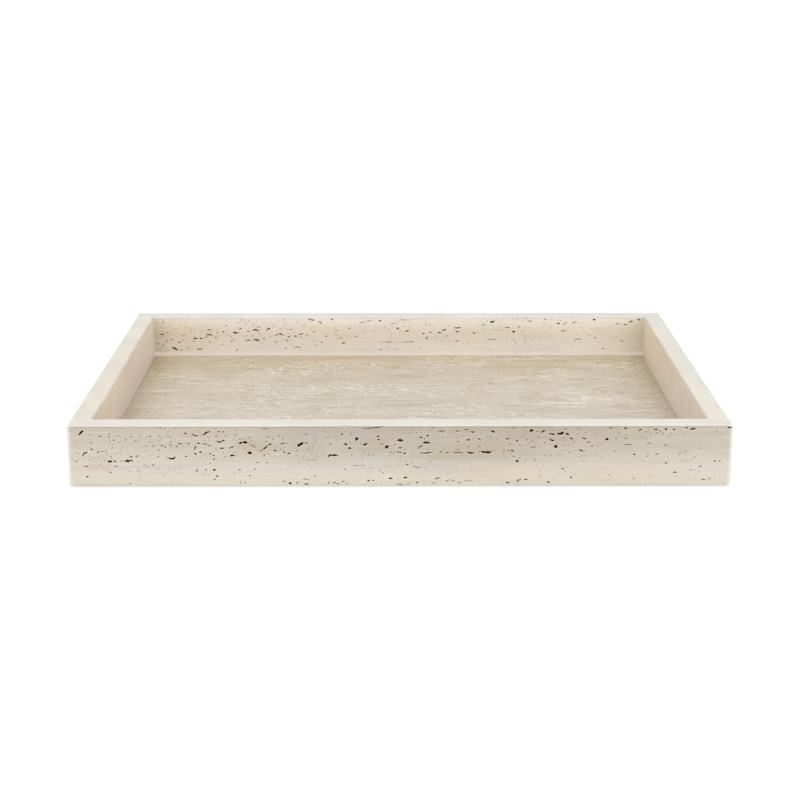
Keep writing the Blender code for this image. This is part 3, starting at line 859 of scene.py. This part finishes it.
# rows of pixel and length in mm along the front rim
frontChips = (
    (74, 2), (111, 3), (127, 5), (146, 3), (176, 2.5), (216, 2), (262, 2.5), (343, 5), (351, 2.5),
    (388, 3.5), (431, 2), (474, 2.5), (520, 3), (585, 3), (610, 2), (641, 2.5), (686, 2), (729, 5),
)
chipLook = {"up": (0.0, 0.25), "tall": (1.2, 1.9), "slope": (-0.06, 0.06)}


def chipArris(wall, face, length, seed):
    dice = random.Random(seed)
    spots = []
    for x, long in frontChips:
        along = (x - frontPixels["left"]) / (frontPixels["right"] - frontPixels["left"]) * length
        up, tall = (dice.uniform(*chipLook[kind]) * mm for kind in ("up", "tall"))
        spots.append((along, up, long * mm, tall, dice.uniform(*chipLook["slope"]), 0))
    cutPores(wall, face, spots, seed, finishNumber=0, depth=chipDepth)


def sliceRows(wall, low, high):  # smaller faces, which the pores cut more cleanly
    for row in range(1, wallLook["rows"]):
        sliceAcross(wall, low + (high - low) * (row / wallLook["rows"]), (0, 0, 1))


def makeLongWall(name, low, high, outY):
    wall = addBlock(name, low, high)
    for cutX in (leftHigh.x, rightLow.x):  # where the side walls' inner faces meet this wall
        sliceAcross(wall, (cutX, 0, 0), (1, 0, 0))

    def isEased(start, end):
        middle = (start + end) / 2
        atEnd = abs(middle.x) > rightHigh.x - mm
        if abs(start.y - end.y) > mm:
            return atEnd
        if abs(middle.y - outY) < touch:
            return atEnd or min(middle.z - low.z, high.z - middle.z) < touch
        return middle.z > high.z - touch and abs(middle.x) < rightLow.x

    easeEdges(wall, isEased, wallLook["outer"])
    wearArrises(wall, low, high, 0)
    sliceRows(wall, low, high)
    return wall


def makeSideWall(name, low, high, outX):
    wall = addBlock(name, low, high)

    def isEased(start, end):
        return abs(start.y - end.y) > longEdge and abs((start.x + end.x) / 2 - outX) < touch

    def isInnerTop(spot, reach=wallLook["innerReach"]):
        return abs(spot.x - outX) > high.x - low.x - reach and spot.z > high.z - reach

    def isInnerEdge(start, end):
        return abs(start.y - end.y) > longEdge and isInnerTop((start + end) / 2, touch)

    easeEdges(wall, isEased, wallLook["outer"])
    easeEdges(wall, isInnerEdge, wallLook["inner"])
    wearArrises(wall, low, high, 1, isInnerTop)
    sliceRows(wall, low, high)
    return wall


wallSize = frontHigh - frontLow
innerLength = rightLow.x - leftHigh.x
innerHeight = rimHeight - floorTop
frontFace = faceFrame(frontLow, (0, 1, 0))
frontRim = faceFrame((frontLow.x, frontLow.y, rimHeight), (0, 1, 0))
frontInside = faceFrame((leftHigh.x, frontHigh.y, floorTop), (0, -1, 0))
backInside = faceFrame((leftHigh.x, backLow.y, floorTop), (0, 1, 0))
backFace = faceFrame((backLow.x, backHigh.y, backLow.z), (0, -1, 0))

frontMain = photoSpots(frontPores, frontPixels, wallSize.x, wallSize.z)
frontFine = scatterSpots(
    wallSize.x, wallSize.z, number=240, sizes=finePores, seed=5, taken=frontMain, footShare=0.55
)
backMain = photoSpots(backPores, backPixels, innerLength, innerHeight)
backFine = scatterSpots(
    innerLength, innerHeight, number=190, sizes=finePores, seed=6, taken=backMain, footShare=0.5
)
frontInsidePores = scatterTwice(innerLength, innerHeight, largePores, numbers=(36, 110), seeds=(7, 8))
backOutsidePores = scatterTwice(wallSize.x, wallSize.z, largePores, numbers=(60, 160), seeds=(9, 10))

frontLook = {
    "shift": (0, 0, 0),
    "bedAxis": "Z",
    "bedRun": (stoneBottom / mm, rimHeight / mm),
    # from foot to rim: partly the stone's own bands, partly painted light, paler towards the foot where the
    # bright ground throws light back
    "beds": (
        (0.0, (0.77, 0.71, 0.595)), (0.12, (0.77, 0.715, 0.605)), (0.31, (0.745, 0.685, 0.605)),
        (0.4, (0.72, 0.67, 0.575)), (0.5, (0.68, 0.63, 0.535)), (0.7, (0.645, 0.58, 0.485)),
        (0.9, (0.625, 0.56, 0.475)), (1.0, (0.59, 0.525, 0.45)),
    ),
    "sway": (
        (0.0, (1, 1, 1)), (0.20, (1, 1, 1)), (0.40, (0.89, 0.89, 0.89)),
        (0.70, (0.90, 0.89, 0.88)), (0.86, (0.99, 0.98, 0.97)), (1.0, (1, 1, 1)),
    ),
    "swayWander": 60,
    "swayFrom": (0.15, 0.5),
    "stainPlane": "XZ",
    "stains": (
        ((-90, 25), (14, 6), 0.5, (0.955, 0.90, 0.80)), ((42, 22), (34, 7), 0.9, (0.955, 0.90, 0.79)),
        ((52, 9), (40, 9), 0.8, (1.0, 0.96, 0.87)), ((97, 31), (14, 6), 0.7, (0.94, 0.88, 0.82)),
        ((124, 9), (42, 9), 0.7, (1.0, 0.965, 0.90)), ((-184, 14), (15, 4), 0.7, (0.97, 0.91, 0.87)),
        ((-58, 26), (12, 6), 0.6, (0.94, 0.90, 0.88)), ((-16, 27), (14, 6), 0.7, (0.94, 0.89, 0.83)),
        ((-120, 33), (22, 5), 0.6, (0.97, 0.90, 0.85)), ((92, 36), (70, 8), 0.9, (0.925, 0.905, 0.875)),
    ),
    "ripples": (),
    "wander": 9,
    "wanderReach": (48, 48, 9),
    "patches": (
        ((55, 55, 9), (0.50, 0.66), 0.8, (0.94, 0.93, 0.95)),
        ((38, 38, 12), (0.54, 0.70), 0.45, (1.0, 0.95, 0.86)),
        ((80, 80, 14), (0.52, 0.64), 0.7, (0.965, 0.985, 0.975)),
        ((70, 70, 1.2), (0.55, 0.30), 0.6, (0.92, 0.91, 0.90)),
    ),
    "dashes": (((12, 12, 1.3), (0.60, 0.70), 0.4, stoneTones["pale"]),),
    "gather": (60, 60, 12),
    "mottle": (2.6, 2.6, 1.3),
    "mottleTint": (0.93, 0.92, 0.90),
    "seams": 0.35,
    "seamReach": (170, 170, 6),
    # pore insides: a dark brown that is partly deposits and partly painted shade, and a lighter tone painted
    # where the faces look up
    "poreShadedAndLitTones": (screenColour(54, 40, 14), screenColour(146, 102, 42)),
    "holes": 0.85,
    "holeCell": (3.1, 3.1, 2.0),
    "holeGather": (30, 30, 6),
    "rim": ((0.86, 0.805, 0.73), (0.885, 0.855, 0.80)),
    "rimReach": 0.2,
    "rimRub": 0,
    "arrisHighlight": 0.25,
    # painted light along the front wall's outer edges: pale painted highlights on the corners and the rim's
    # front edge, and a thin painted shade line under the rim
    "rub": {
        "waver": 1.2,
        "end": (2.4, 0.3),
        "endAmount": 0.75,
        "cornerHighlightTone": (0.90, 0.84, 0.78),
        "edge": (2.2, 0.5),
        "edgeAmount": 0.6,
        "rimEdgeHighlightTone": (0.95, 0.91, 0.86),
        "line": (1.0, 0.8),
        "rimShadeTint": (0.88, 0.87, 0.855),
    },
}
backLook = {
    **frontLook,
    "shift": (300, 40, 90),
    # painted light: the back wall's inside is painted paler than the front and palest towards the rim, where
    # light falls on it, over its own bands
    "beds": (
        (0.0, (0.90, 0.85, 0.76)), (0.26, (0.93, 0.88, 0.79)), (0.40, (0.92, 0.86, 0.77)),
        (0.53, (0.86, 0.79, 0.69)), (0.7, (0.87, 0.79, 0.68)), (0.81, (0.91, 0.84, 0.73)),
        (0.9, (0.95, 0.91, 0.83)), (1.0, (0.96, 0.93, 0.87)),
    ),
    # darker at both ends is painted shade in the corners where the side walls meet the back wall; a paler
    # stretch lies near the right end
    "sway": (
        (0.03, (0.80, 0.77, 0.72)), (0.045, (0.88, 0.86, 0.83)), (0.07, (1, 1, 1)),
        (0.74, (1, 1, 1)), (0.86, (1.06, 1.065, 1.075)), (0.92, (1.02, 1.02, 1.01)),
        (0.95, (0.92, 0.90, 0.86)), (0.972, (0.79, 0.77, 0.73)),
    ),
    "swayWander": 4,
    "swayFrom": (-1, -0.5),
    # pore insides as on the front: partly deposits and partly painted shade, lighter where the faces look up
    "poreShadedAndLitTones": (screenColour(86, 62, 8), screenColour(164, 120, 46)),
    "stains": (
        ((-160, 24), (30, 9), 0.6, (0.97, 0.93, 0.86)), ((-162, 14), (30, 5), 0.8, (0.925, 0.90, 0.85)),
    ),
    "wander": 5,
    "rim": ((0.77, 0.735, 0.70), (0.83, 0.80, 0.765)),
    "rimReach": 2.5,
    "rimRub": 1.5,
    "arrisHighlight": 0.9,
    "rub": None,
}
sideLook = {
    **frontLook,
    "shift": (90, 500, 33),
    "bedAxis": "Y",
    "bedRun": (leftLow.y / mm, leftHigh.y / mm),
    "beds": (
        (0.0, (0.94, 0.86, 0.74)), (0.25, (0.95, 0.84, 0.72)), (0.5, (0.87, 0.765, 0.655)),
        (0.78, (0.88, 0.78, 0.695)), (1.0, (0.97, 0.90, 0.79)),
    ),
    "sway": None,
    "stains": (),
    "wander": 60,
    "wanderReach": (48, 60, 30),
    "patches": (
        ((70, 34, 26), (0.42, 0.66), 0.7, (0.95, 0.925, 0.945)),
        ((24, 15, 17), (0.45, 0.65), 0.6, (0.97, 0.945, 0.91)),
    ),
    "dashes": (),
    "gather": (60, 30, 60),
    "mottle": (7, 9, 7),
    "mottleTint": (0.965, 0.955, 0.945),
    "seams": 0,
    "seamReach": (75, 30, 60),
    "holes": 0.25,
    "rim": ((0.82, 0.765, 0.68), (0.89, 0.85, 0.72)),
    "rimReach": 6,
    "rimRub": 22,
    "arrisHighlight": 0.8,
    "rub": None,
}
floorLook = {
    **frontLook,
    "shift": (40, 80, 900),
    "bedAxis": "Y",
    "bedRun": (baseLow.y / mm, baseHigh.y / mm),
    "beds": (
        (0.0, (0.72, 0.64, 0.53)), (0.35, (0.735, 0.66, 0.555)), (0.65, (0.715, 0.635, 0.52)),
        (0.86, (0.69, 0.60, 0.475)), (0.95, (0.67, 0.575, 0.45)), (1.0, (0.70, 0.60, 0.475)),
    ),
    # painted shade: darker at both ends, where the floor meets the side walls
    "sway": (
        (0.035, (0.78, 0.74, 0.68)), (0.05, (0.84, 0.81, 0.76)), (0.07, (0.95, 0.94, 0.91)),
        (0.10, (1, 1, 1)), (0.89, (1, 1, 1)), (0.925, (0.93, 0.92, 0.89)),
        (0.95, (0.82, 0.80, 0.75)), (0.965, (0.78, 0.75, 0.69)),
    ),
    "swayWander": 8,
    "swayFrom": (-1, -0.5),
    "stainPlane": "XY",
    "stains": (
        ((-172, 31), (26, 2.4), 1, (1.16, 1.17, 1.19)), ((-172, 26), (26, 4), 0.9, (0.93, 0.91, 0.88)),
        ((-120, 51), (26, 2.2), 1, (1.12, 1.13, 1.15)), ((-96, 66), (28, 2.2), 1, (1.12, 1.13, 1.14)),
        ((104, 107), (34, 2.2), 1, (1.14, 1.15, 1.17)), ((70, 101), (40, 3.5), 0.9, (0.94, 0.92, 0.89)),
        ((126, 3), (44, 2.4), 1, (1.12, 1.13, 1.15)), ((44, 62), (34, 2.2), 1, (1.10, 1.11, 1.12)),
        ((140, 12), (30, 5), 1, (1.07, 1.07, 1.08)), ((84, 60), (30, 7), 1, (1.04, 1.05, 1.05)),
        ((24, -8), (60, 14), 0.8, (1.03, 1.035, 1.045)), ((-160, -5), (34, 10), 0.8, (1.03, 1.0, 0.97)),
    ),
    "ripples": (((-32, 2), (66, 26), (90, 24, 20), 6, 0.9, (0.87, 0.85, 0.83)),),
    "wander": 26,
    "wanderReach": (120, 40, 40),
    "patches": (
        ((130, 18, 18), (0.48, 0.66), 0.6, (0.95, 0.93, 0.89)),
        ((62, 24, 24), (0.48, 0.62), 0.8, (0.96, 0.98, 0.965)),
        ((48, 20, 20), (0.55, 0.68), 0.8, (1.0, 0.96, 0.94)),
        ((30, 4, 4), (0.52, 0.36), 0.8, (0.895, 0.87, 0.83)),
        ((11, 2.4, 2.4), (0.48, 0.34), 0.75, (0.84, 0.81, 0.76)),
    ),
    "dashes": (
        ((4.6, 1.8, 1.8), (0.545, 0.615), 0.9, (0.92, 0.88, 0.80)),
        ((15, 1.7, 1.7), (0.575, 0.64), 0.85, (0.92, 0.87, 0.78)),
    ),
    "gather": (70, 26, 26),
    "mottle": (3, 2, 2),
    "seams": 0.5,
    "seamReach": (260, 16, 16),
    "holes": 0.25,
    "holeCell": (6, 5, 5),
    "holeGather": (40, 20, 20),
    "rim": None,
    "rub": None,
}

frontWall = makeLongWall("front_wall_stone", frontLow, frontHigh, frontLow.y)
addFinishes(frontWall, "front", frontLow, frontHigh, frontLook)
chipArris(frontWall, frontRim, wallSize.x, seed=31)
cutPores(frontWall, frontFace, frontMain + frontFine, seed=21)
cutPores(frontWall, frontInside, frontInsidePores, seed=22)
print("front wall:", len(frontWall.data.polygons), "faces")

backWall = makeLongWall("back_wall_stone", backLow, backHigh, backHigh.y)
addFinishes(backWall, "back", backLow, backHigh, backLook)
cutPores(backWall, backInside, backMain + backFine, seed=23)
cutPores(backWall, backFace, backOutsidePores, seed=24)
print("back wall:", len(backWall.data.polygons), "faces")

for wall, low, high, seed in ((frontWall, frontLow, frontHigh, 41), (backWall, backLow, backHigh, 43)):
    for endSeed, endX in enumerate((low.x, high.x), seed):
        end = faceFrame((endX, low.y, low.z), (-math.copysign(1, endX), 0, 0), along=(0, 1, 0))
        seeds = (endSeed, endSeed + 10)
        spots = scatterTwice(wallSize.y, wallSize.z, smallPores, numbers=(5, 16), seeds=seeds)
        cutPores(wall, end, spots, endSeed + 20)

rightLook = {
    **sideLook,
    "shift": (90, 900, 33),
    "beds": (
        (0.0, (0.96, 0.86, 0.74)), (0.25, (0.91, 0.80, 0.69)), (0.55, (0.89, 0.79, 0.67)),
        (0.78, (0.90, 0.79, 0.65)), (1.0, (0.95, 0.85, 0.70)),
    ),
    "rim": ((0.82, 0.78, 0.72), (0.86, 0.83, 0.72)),
}
sideWalls = []
for side, low, high, outX, look, seed in (
    ("left", leftLow, leftHigh, leftLow.x, sideLook, 51),
    ("right", rightLow, rightHigh, rightHigh.x, rightLook, 53),
):
    wall = makeSideWall(f"{side}_wall_stone", low, high, outX)
    addFinishes(wall, side, low, high, look)
    face = faceFrame((outX, low.y, low.z), (-math.copysign(1, outX), 0, 0), along=(0, 1, 0))
    seeds = (seed, seed + 10)
    spots = scatterTwice(high.y - low.y, wallSize.z, smallPores, numbers=(9, 60), seeds=seeds)
    cutPores(wall, face, spots, seed + 20)
    sideWalls.append((wall, f"{side}_wall"))
print("side walls ready")

# the slab reaches further into its joints than the solid does
slabGrow = Vector((1.0 * mm, 0.6 * mm, 0))
slabEase = {"width": 0.3 * mm, "steps": wallLook["outer"]["steps"]}
slabLow, slabHigh = baseLow - slabGrow, baseHigh + slabGrow
floorPits = (  # rows of place, length and height in mm
    (-177, 72.6, 1.6, 2.0), (-171, 67, 0.9, 1.0), (-85, 70, 1.1, 1.6), (-26, 89, 1.0, 1.3),
    (65.6, 48, 1.5, 1.7), (24, -16.6, 1.2, 1.9), (28, 11, 1.1, 1.2), (131, 3, 1.1, 1.3),
    (-128, 22, 0.9, 1.2), (92, 76, 1.0, 1.1), (-62, -40, 1.5, 1.3), (48, -70, 1.4, 1.1),
    (-140, -84, 1.8, 1.3), (118, -52, 1.2, 1.1),
)
pitSlope = 0.1
baseStone = addBlock("base_stone", slabLow, slabHigh)
easeEdges(baseStone, lambda start, end: min(start.z, end.z) > slabHigh.z - touch, slabEase)
addFinishes(baseStone, "floor", slabLow, slabHigh, floorLook)
floorFace = faceFrame((0, 0, floorTop), (0, 0, -1), up=(0, 1, 0))
pitSpots = [(*(size * mm for size in pit), pitSlope, 0) for pit in floorPits]
cutPores(baseStone, floorFace, pitSpots, seed=25)

resinLook = {
    "sink": 0.3 * mm,
    "rimSink": 0.04 * mm,
    "beadShare": 0.62,
    "coveProfile": 0.086,
    "coveSteps": 5,
    "coveShare": 0.93,
    "wobble": 0.14 * mm,
    "wobbleWave": 6 * mm,
    "swell": 0.25,
    "unlike": 100,  # sets each piece's noise apart
    "slice": 5 * mm,
}


def coveResin(piece, isEdge, width, runAxis, reach):
    pickEdges(piece, isEdge)
    bpy.ops.mesh.bevel(
        offset=width, segments=resinLook["coveSteps"], profile=resinLook["coveProfile"], affect="EDGES"
    )
    leaveEdit()
    pickEdges(piece, lambda start, end: abs((start - end)[runAxis]) > reach / 2)
    bpy.ops.mesh.subdivide(number_cuts=int(reach / resinLook["slice"]))
    leaveEdit()


def makeCornerResin(name, node, longFaceY, sideEndY, sideInX, sideOutX):
    nodeLow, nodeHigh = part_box(node)
    intoX = nodeHigh.x if sideInX < 0 else nodeLow.x  # where the bead ends on the long wall
    intoY = nodeHigh.y if longFaceY < 0 else nodeLow.y  # and on the side wall
    intoX = sideInX + (intoX - sideInX) * resinLook["beadShare"]
    intoY = sideEndY + (intoY - sideEndY) * resinLook["beadShare"]
    outX = sideOutX + math.copysign(resinLook["sink"], -sideOutX)
    low = Vector((min(outX, intoX), min(longFaceY, sideEndY), stoneBottom))
    high = Vector((max(outX, intoX), max(longFaceY, sideEndY), rimHeight - resinLook["rimSink"]))
    piece = addBlock(name, low, high)
    sliceAcross(piece, (sideInX, 0, 0), (1, 0, 0))

    def isBeadFace(face):
        return abs(face.center.y - sideEndY) < hair and abs(face.center.x) < abs(sideInX)

    pickParts(piece, "FACE", isBeadFace)
    bpy.ops.mesh.extrude_region_move(TRANSFORM_OT_translate={"value": (0, intoY - sideEndY, 0)})
    leaveEdit()

    def isBeadEdge(start, end):
        upright = abs(start.z - end.z) > mm
        return upright and abs(start.x - intoX) < hair and abs(start.y - intoY) < hair

    coveResin(piece, isBeadEdge, abs(intoX - sideInX) * resinLook["coveShare"], 2, high.z - low.z)
    corner = Vector((sideInX, longFaceY)) * resinLook["unlike"]
    for point in piece.data.vertices:
        inside = abs(point.co.x) < abs(sideInX) - touch / 2 and abs(point.co.y) < abs(sideEndY) - touch / 2
        if inside:
            wave = Vector((point.co.z / resinLook["wobbleWave"], *corner))
            push = max(0, noise.noise(wave)) * resinLook["wobble"]
            point.co.x += math.copysign(push, sideInX)
            point.co.y += math.copysign(push, longFaceY)
    return piece


def makeFloorResin(name, node, low, high, runAxis, wallAt):
    # the cove climbs the wall, which lies at wallAt across the run
    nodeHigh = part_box(node)[1]
    acrossAxis = 1 - runAxis
    width = high[acrossAxis] - low[acrossAxis]
    rise = nodeHigh.z - floorTop
    high = Vector((high.x, high.y, floorTop + width))
    piece = addBlock(name, low, high)
    farSide = low[acrossAxis] if abs(high[acrossAxis] - wallAt) < hair else high[acrossAxis]

    def isCoveEdge(start, end):
        top = min(start.z, end.z) > high.z - hair
        return top and all(abs(point[acrossAxis] - farSide) < hair for point in (start, end))

    coveResin(piece, isCoveEdge, width * resinLook["coveShare"], runAxis, high[runAxis] - low[runAxis])
    for point in piece.data.vertices:
        over = point.co.z - floorTop
        if over > hair:
            wave = Vector((point.co[runAxis] / resinLook["wobbleWave"], wallAt * resinLook["unlike"], 0))
            swell = 1 + noise.noise(wave) * resinLook["swell"]
            point.co.z = floorTop + over * rise / width * min(swell, 1.0)
    return piece


resinSkin = {
    "cloud": (14, 14, 14),
    "cloudGrain": (3, 0.6),
    "cloudFade": (0.35, 0.65),
    "speck": (0.9, 0.9, 0.9),
    "speckFade": (0.62, 0.72),
    "speckShare": 0.25,
    "speckTone": (0.60, 0.50, 0.42),
    "footFade": (1.5, 0.1),  # in mm above the floor
    "footWaver": 1.2,
    "rimFade": (1.4, 0.4),  # in mm below the rim
    "rough": 0.40,
    "roughSpread": 0.2,
    "speckLift": 0.3,
    "depth": 0.04 * mm,
    "strength": 0.7,
}


def resinFinish(name, first, second, foot=None):
    look = resinSkin
    recipe = Recipe(bpy.data.materials.new(name))
    spot = recipe.places()
    up = recipe.axis(spot, "Z")
    cloud = recipe.grain(spot, look["cloud"], *look["cloudGrain"])
    speck = recipe.grain(spot, look["speck"])
    tone = recipe.blend(recipe.step(cloud, *look["cloudFade"]), first, second)
    tone = recipe.blend(recipe.step(speck, *look["speckFade"]) * look["speckShare"], tone, look["speckTone"])
    if foot:  # the cove's foot is darkened to the floor's tone and fades into the floor
        wavy = up + (cloud - 0.5) * look["footWaver"]
        onFoot = recipe.step(wavy, *(floorTop / mm + over for over in look["footFade"]))
        tone = recipe.blend(onFoot, tone, foot)
    nearRim = recipe.step(up, *(rimHeight / mm - under for under in look["rimFade"]))
    tone = recipe.blend(nearRim, tone, frontLook["rim"][0])  # stone dust fills the joint's ground top
    roughness = look["rough"] + (cloud - 0.5) * look["roughSpread"]
    relief = recipe.bump(cloud + speck * look["speckLift"], look["depth"], look["strength"])
    return recipe.finish(tone, roughness, relief)


paleResin = resinFinish("paleResin", (0.93, 0.865, 0.785), (0.89, 0.83, 0.76), foot=(0.72, 0.61, 0.49))
cornerResin = resinFinish("cornerResin", (0.83, 0.75, 0.68), (0.78, 0.74, 0.71))
dullResin = resinFinish("dullResin", (0.79, 0.665, 0.60), (0.74, 0.64, 0.61))  # darker than the front and back joints' resin
resinPieces = []


def addResin(piece, node, finish):
    piece.data.materials.append(finish)
    resinPieces.append((piece, node))


for side, sideInX, sideOutX in (("left", leftHigh.x, leftLow.x), ("right", rightLow.x, rightHigh.x)):
    for run, longFaceY, sideEndY in (("front", frontHigh.y, leftLow.y), ("back", backLow.y, leftHigh.y)):
        node = f"corner_joint_{run}_{side}"
        piece = makeCornerResin(f"corner_resin_{run}_{side}", node, longFaceY, sideEndY, sideInX, sideOutX)
        addResin(piece, node, cornerResin)
for run, wallY, baseY in (("front", frontHigh.y, slabLow.y), ("back", backLow.y, slabHigh.y)):
    low = Vector((slabLow.x, min(wallY, baseY), stoneBottom))
    high = Vector((slabHigh.x, max(wallY, baseY), 0))
    node = f"floor_joint_{run}"
    addResin(makeFloorResin(f"floor_resin_{run}", node, low, high, 0, wallY), node, paleResin)
for side, wallX, baseX in (("left", leftHigh.x, slabLow.x), ("right", rightLow.x, slabHigh.x)):
    low = Vector((min(wallX, baseX), frontHigh.y, stoneBottom))
    high = Vector((max(wallX, baseX), backLow.y, 0))
    node = f"floor_joint_{side}"
    addResin(makeFloorResin(f"floor_resin_{side}", node, low, high, 1, wallX), node, dullResin)
print("resin:", len(resinPieces), "pieces")

padLook = {
    "sides": 48,
    "edge": 0.25 * mm,
    "edgeSteps": 2,
    "fray": 0.12 * mm,
    "frayScale": 900,
    "core": 5 * mm,
    "tones": ((0.020, 0.018, 0.016), (0.075, 0.066, 0.058), (0.09, 0.08, 0.07)),
    "fibre": (0.9, 0.25, 0.4),
    "fibreGrain": (3, 0.7, 1.5),
    "fibreFade": (0.3, 0.7),
    "dust": (4, 4, 4),
    "dustFade": (0.4, 0.7),
    "dustShare": 0.3,
    "rough": 0.95,
    "depth": 0.15 * mm,
    "strength": 0.8,
}


def feltFinish(look):
    recipe = Recipe(bpy.data.materials.new("feltFinish"))
    spot = recipe.places()
    fibre = recipe.grain(spot, look["fibre"], *look["fibreGrain"])
    dust = recipe.grain(spot, look["dust"])
    dark, light, dusty = look["tones"]
    tone = recipe.blend(recipe.step(fibre, *look["fibreFade"]), dark, light)
    tone = recipe.blend(recipe.step(dust, *look["dustFade"]) * look["dustShare"], tone, dusty)
    return recipe.finish(tone, look["rough"], recipe.bump(fibre, look["depth"], look["strength"]))


def makePad(name, low, high):
    centre = (low + high) / 2
    clearPick()
    bpy.ops.mesh.primitive_cylinder_add(
        vertices=padLook["sides"], radius=(high.x - low.x) / 2, depth=high.z - low.z, location=centre
    )
    pad = bpy.context.object
    bpy.ops.object.transform_apply(location=True, rotation=True, scale=True)
    pad.name = pad.data.name = name
    pickEdges(pad, lambda start, end: abs(start.z - end.z) < hair)
    bpy.ops.mesh.bevel(offset=padLook["edge"], segments=padLook["edgeSteps"], affect="EDGES")
    leaveEdit()
    for point in pad.data.vertices:
        fray = noise.noise(point.co * padLook["frayScale"]) * padLook["fray"]
        outward = Vector((point.co.x - centre.x, point.co.y - centre.y, 0))
        if outward.length > padLook["core"]:
            point.co -= outward.normalized() * abs(fray)
    return pad


felt = feltFinish(padLook)
padPieces = []
for run in ("front", "back"):
    for side in ("left", "right"):
        node = f"foot_pad_{run}_{side}"
        pad = makePad(f"felt_pad_{run}_{side}", *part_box(node))
        pad.data.materials.append(felt)
        padPieces.append((pad, node))
print("pads:", len(padPieces))

# every piece takes its CAD node's place and rides the root body
for pieces, slot in (
    ([(frontWall, "front_wall"), (backWall, "back_wall"), *sideWalls], "travertine"),
    ([(baseStone, "base_panel")], "travertine_floor"),
    (resinPieces, "resin"),
    (padPieces, "felt"),
):
    for piece, node in pieces:
        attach(piece, "root")
        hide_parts(node)

for shape in [mesh for mesh in bpy.data.meshes if mesh.name.startswith("poreKind")]:
    bpy.data.meshes.remove(shape)

placeCamera(cameraView)
makeSky()
makeGround()
for name, look in panels.items():
    addPanelLight(name, look)
bpy.context.scene.view_settings.view_transform = "Standard"

print("scene ready")
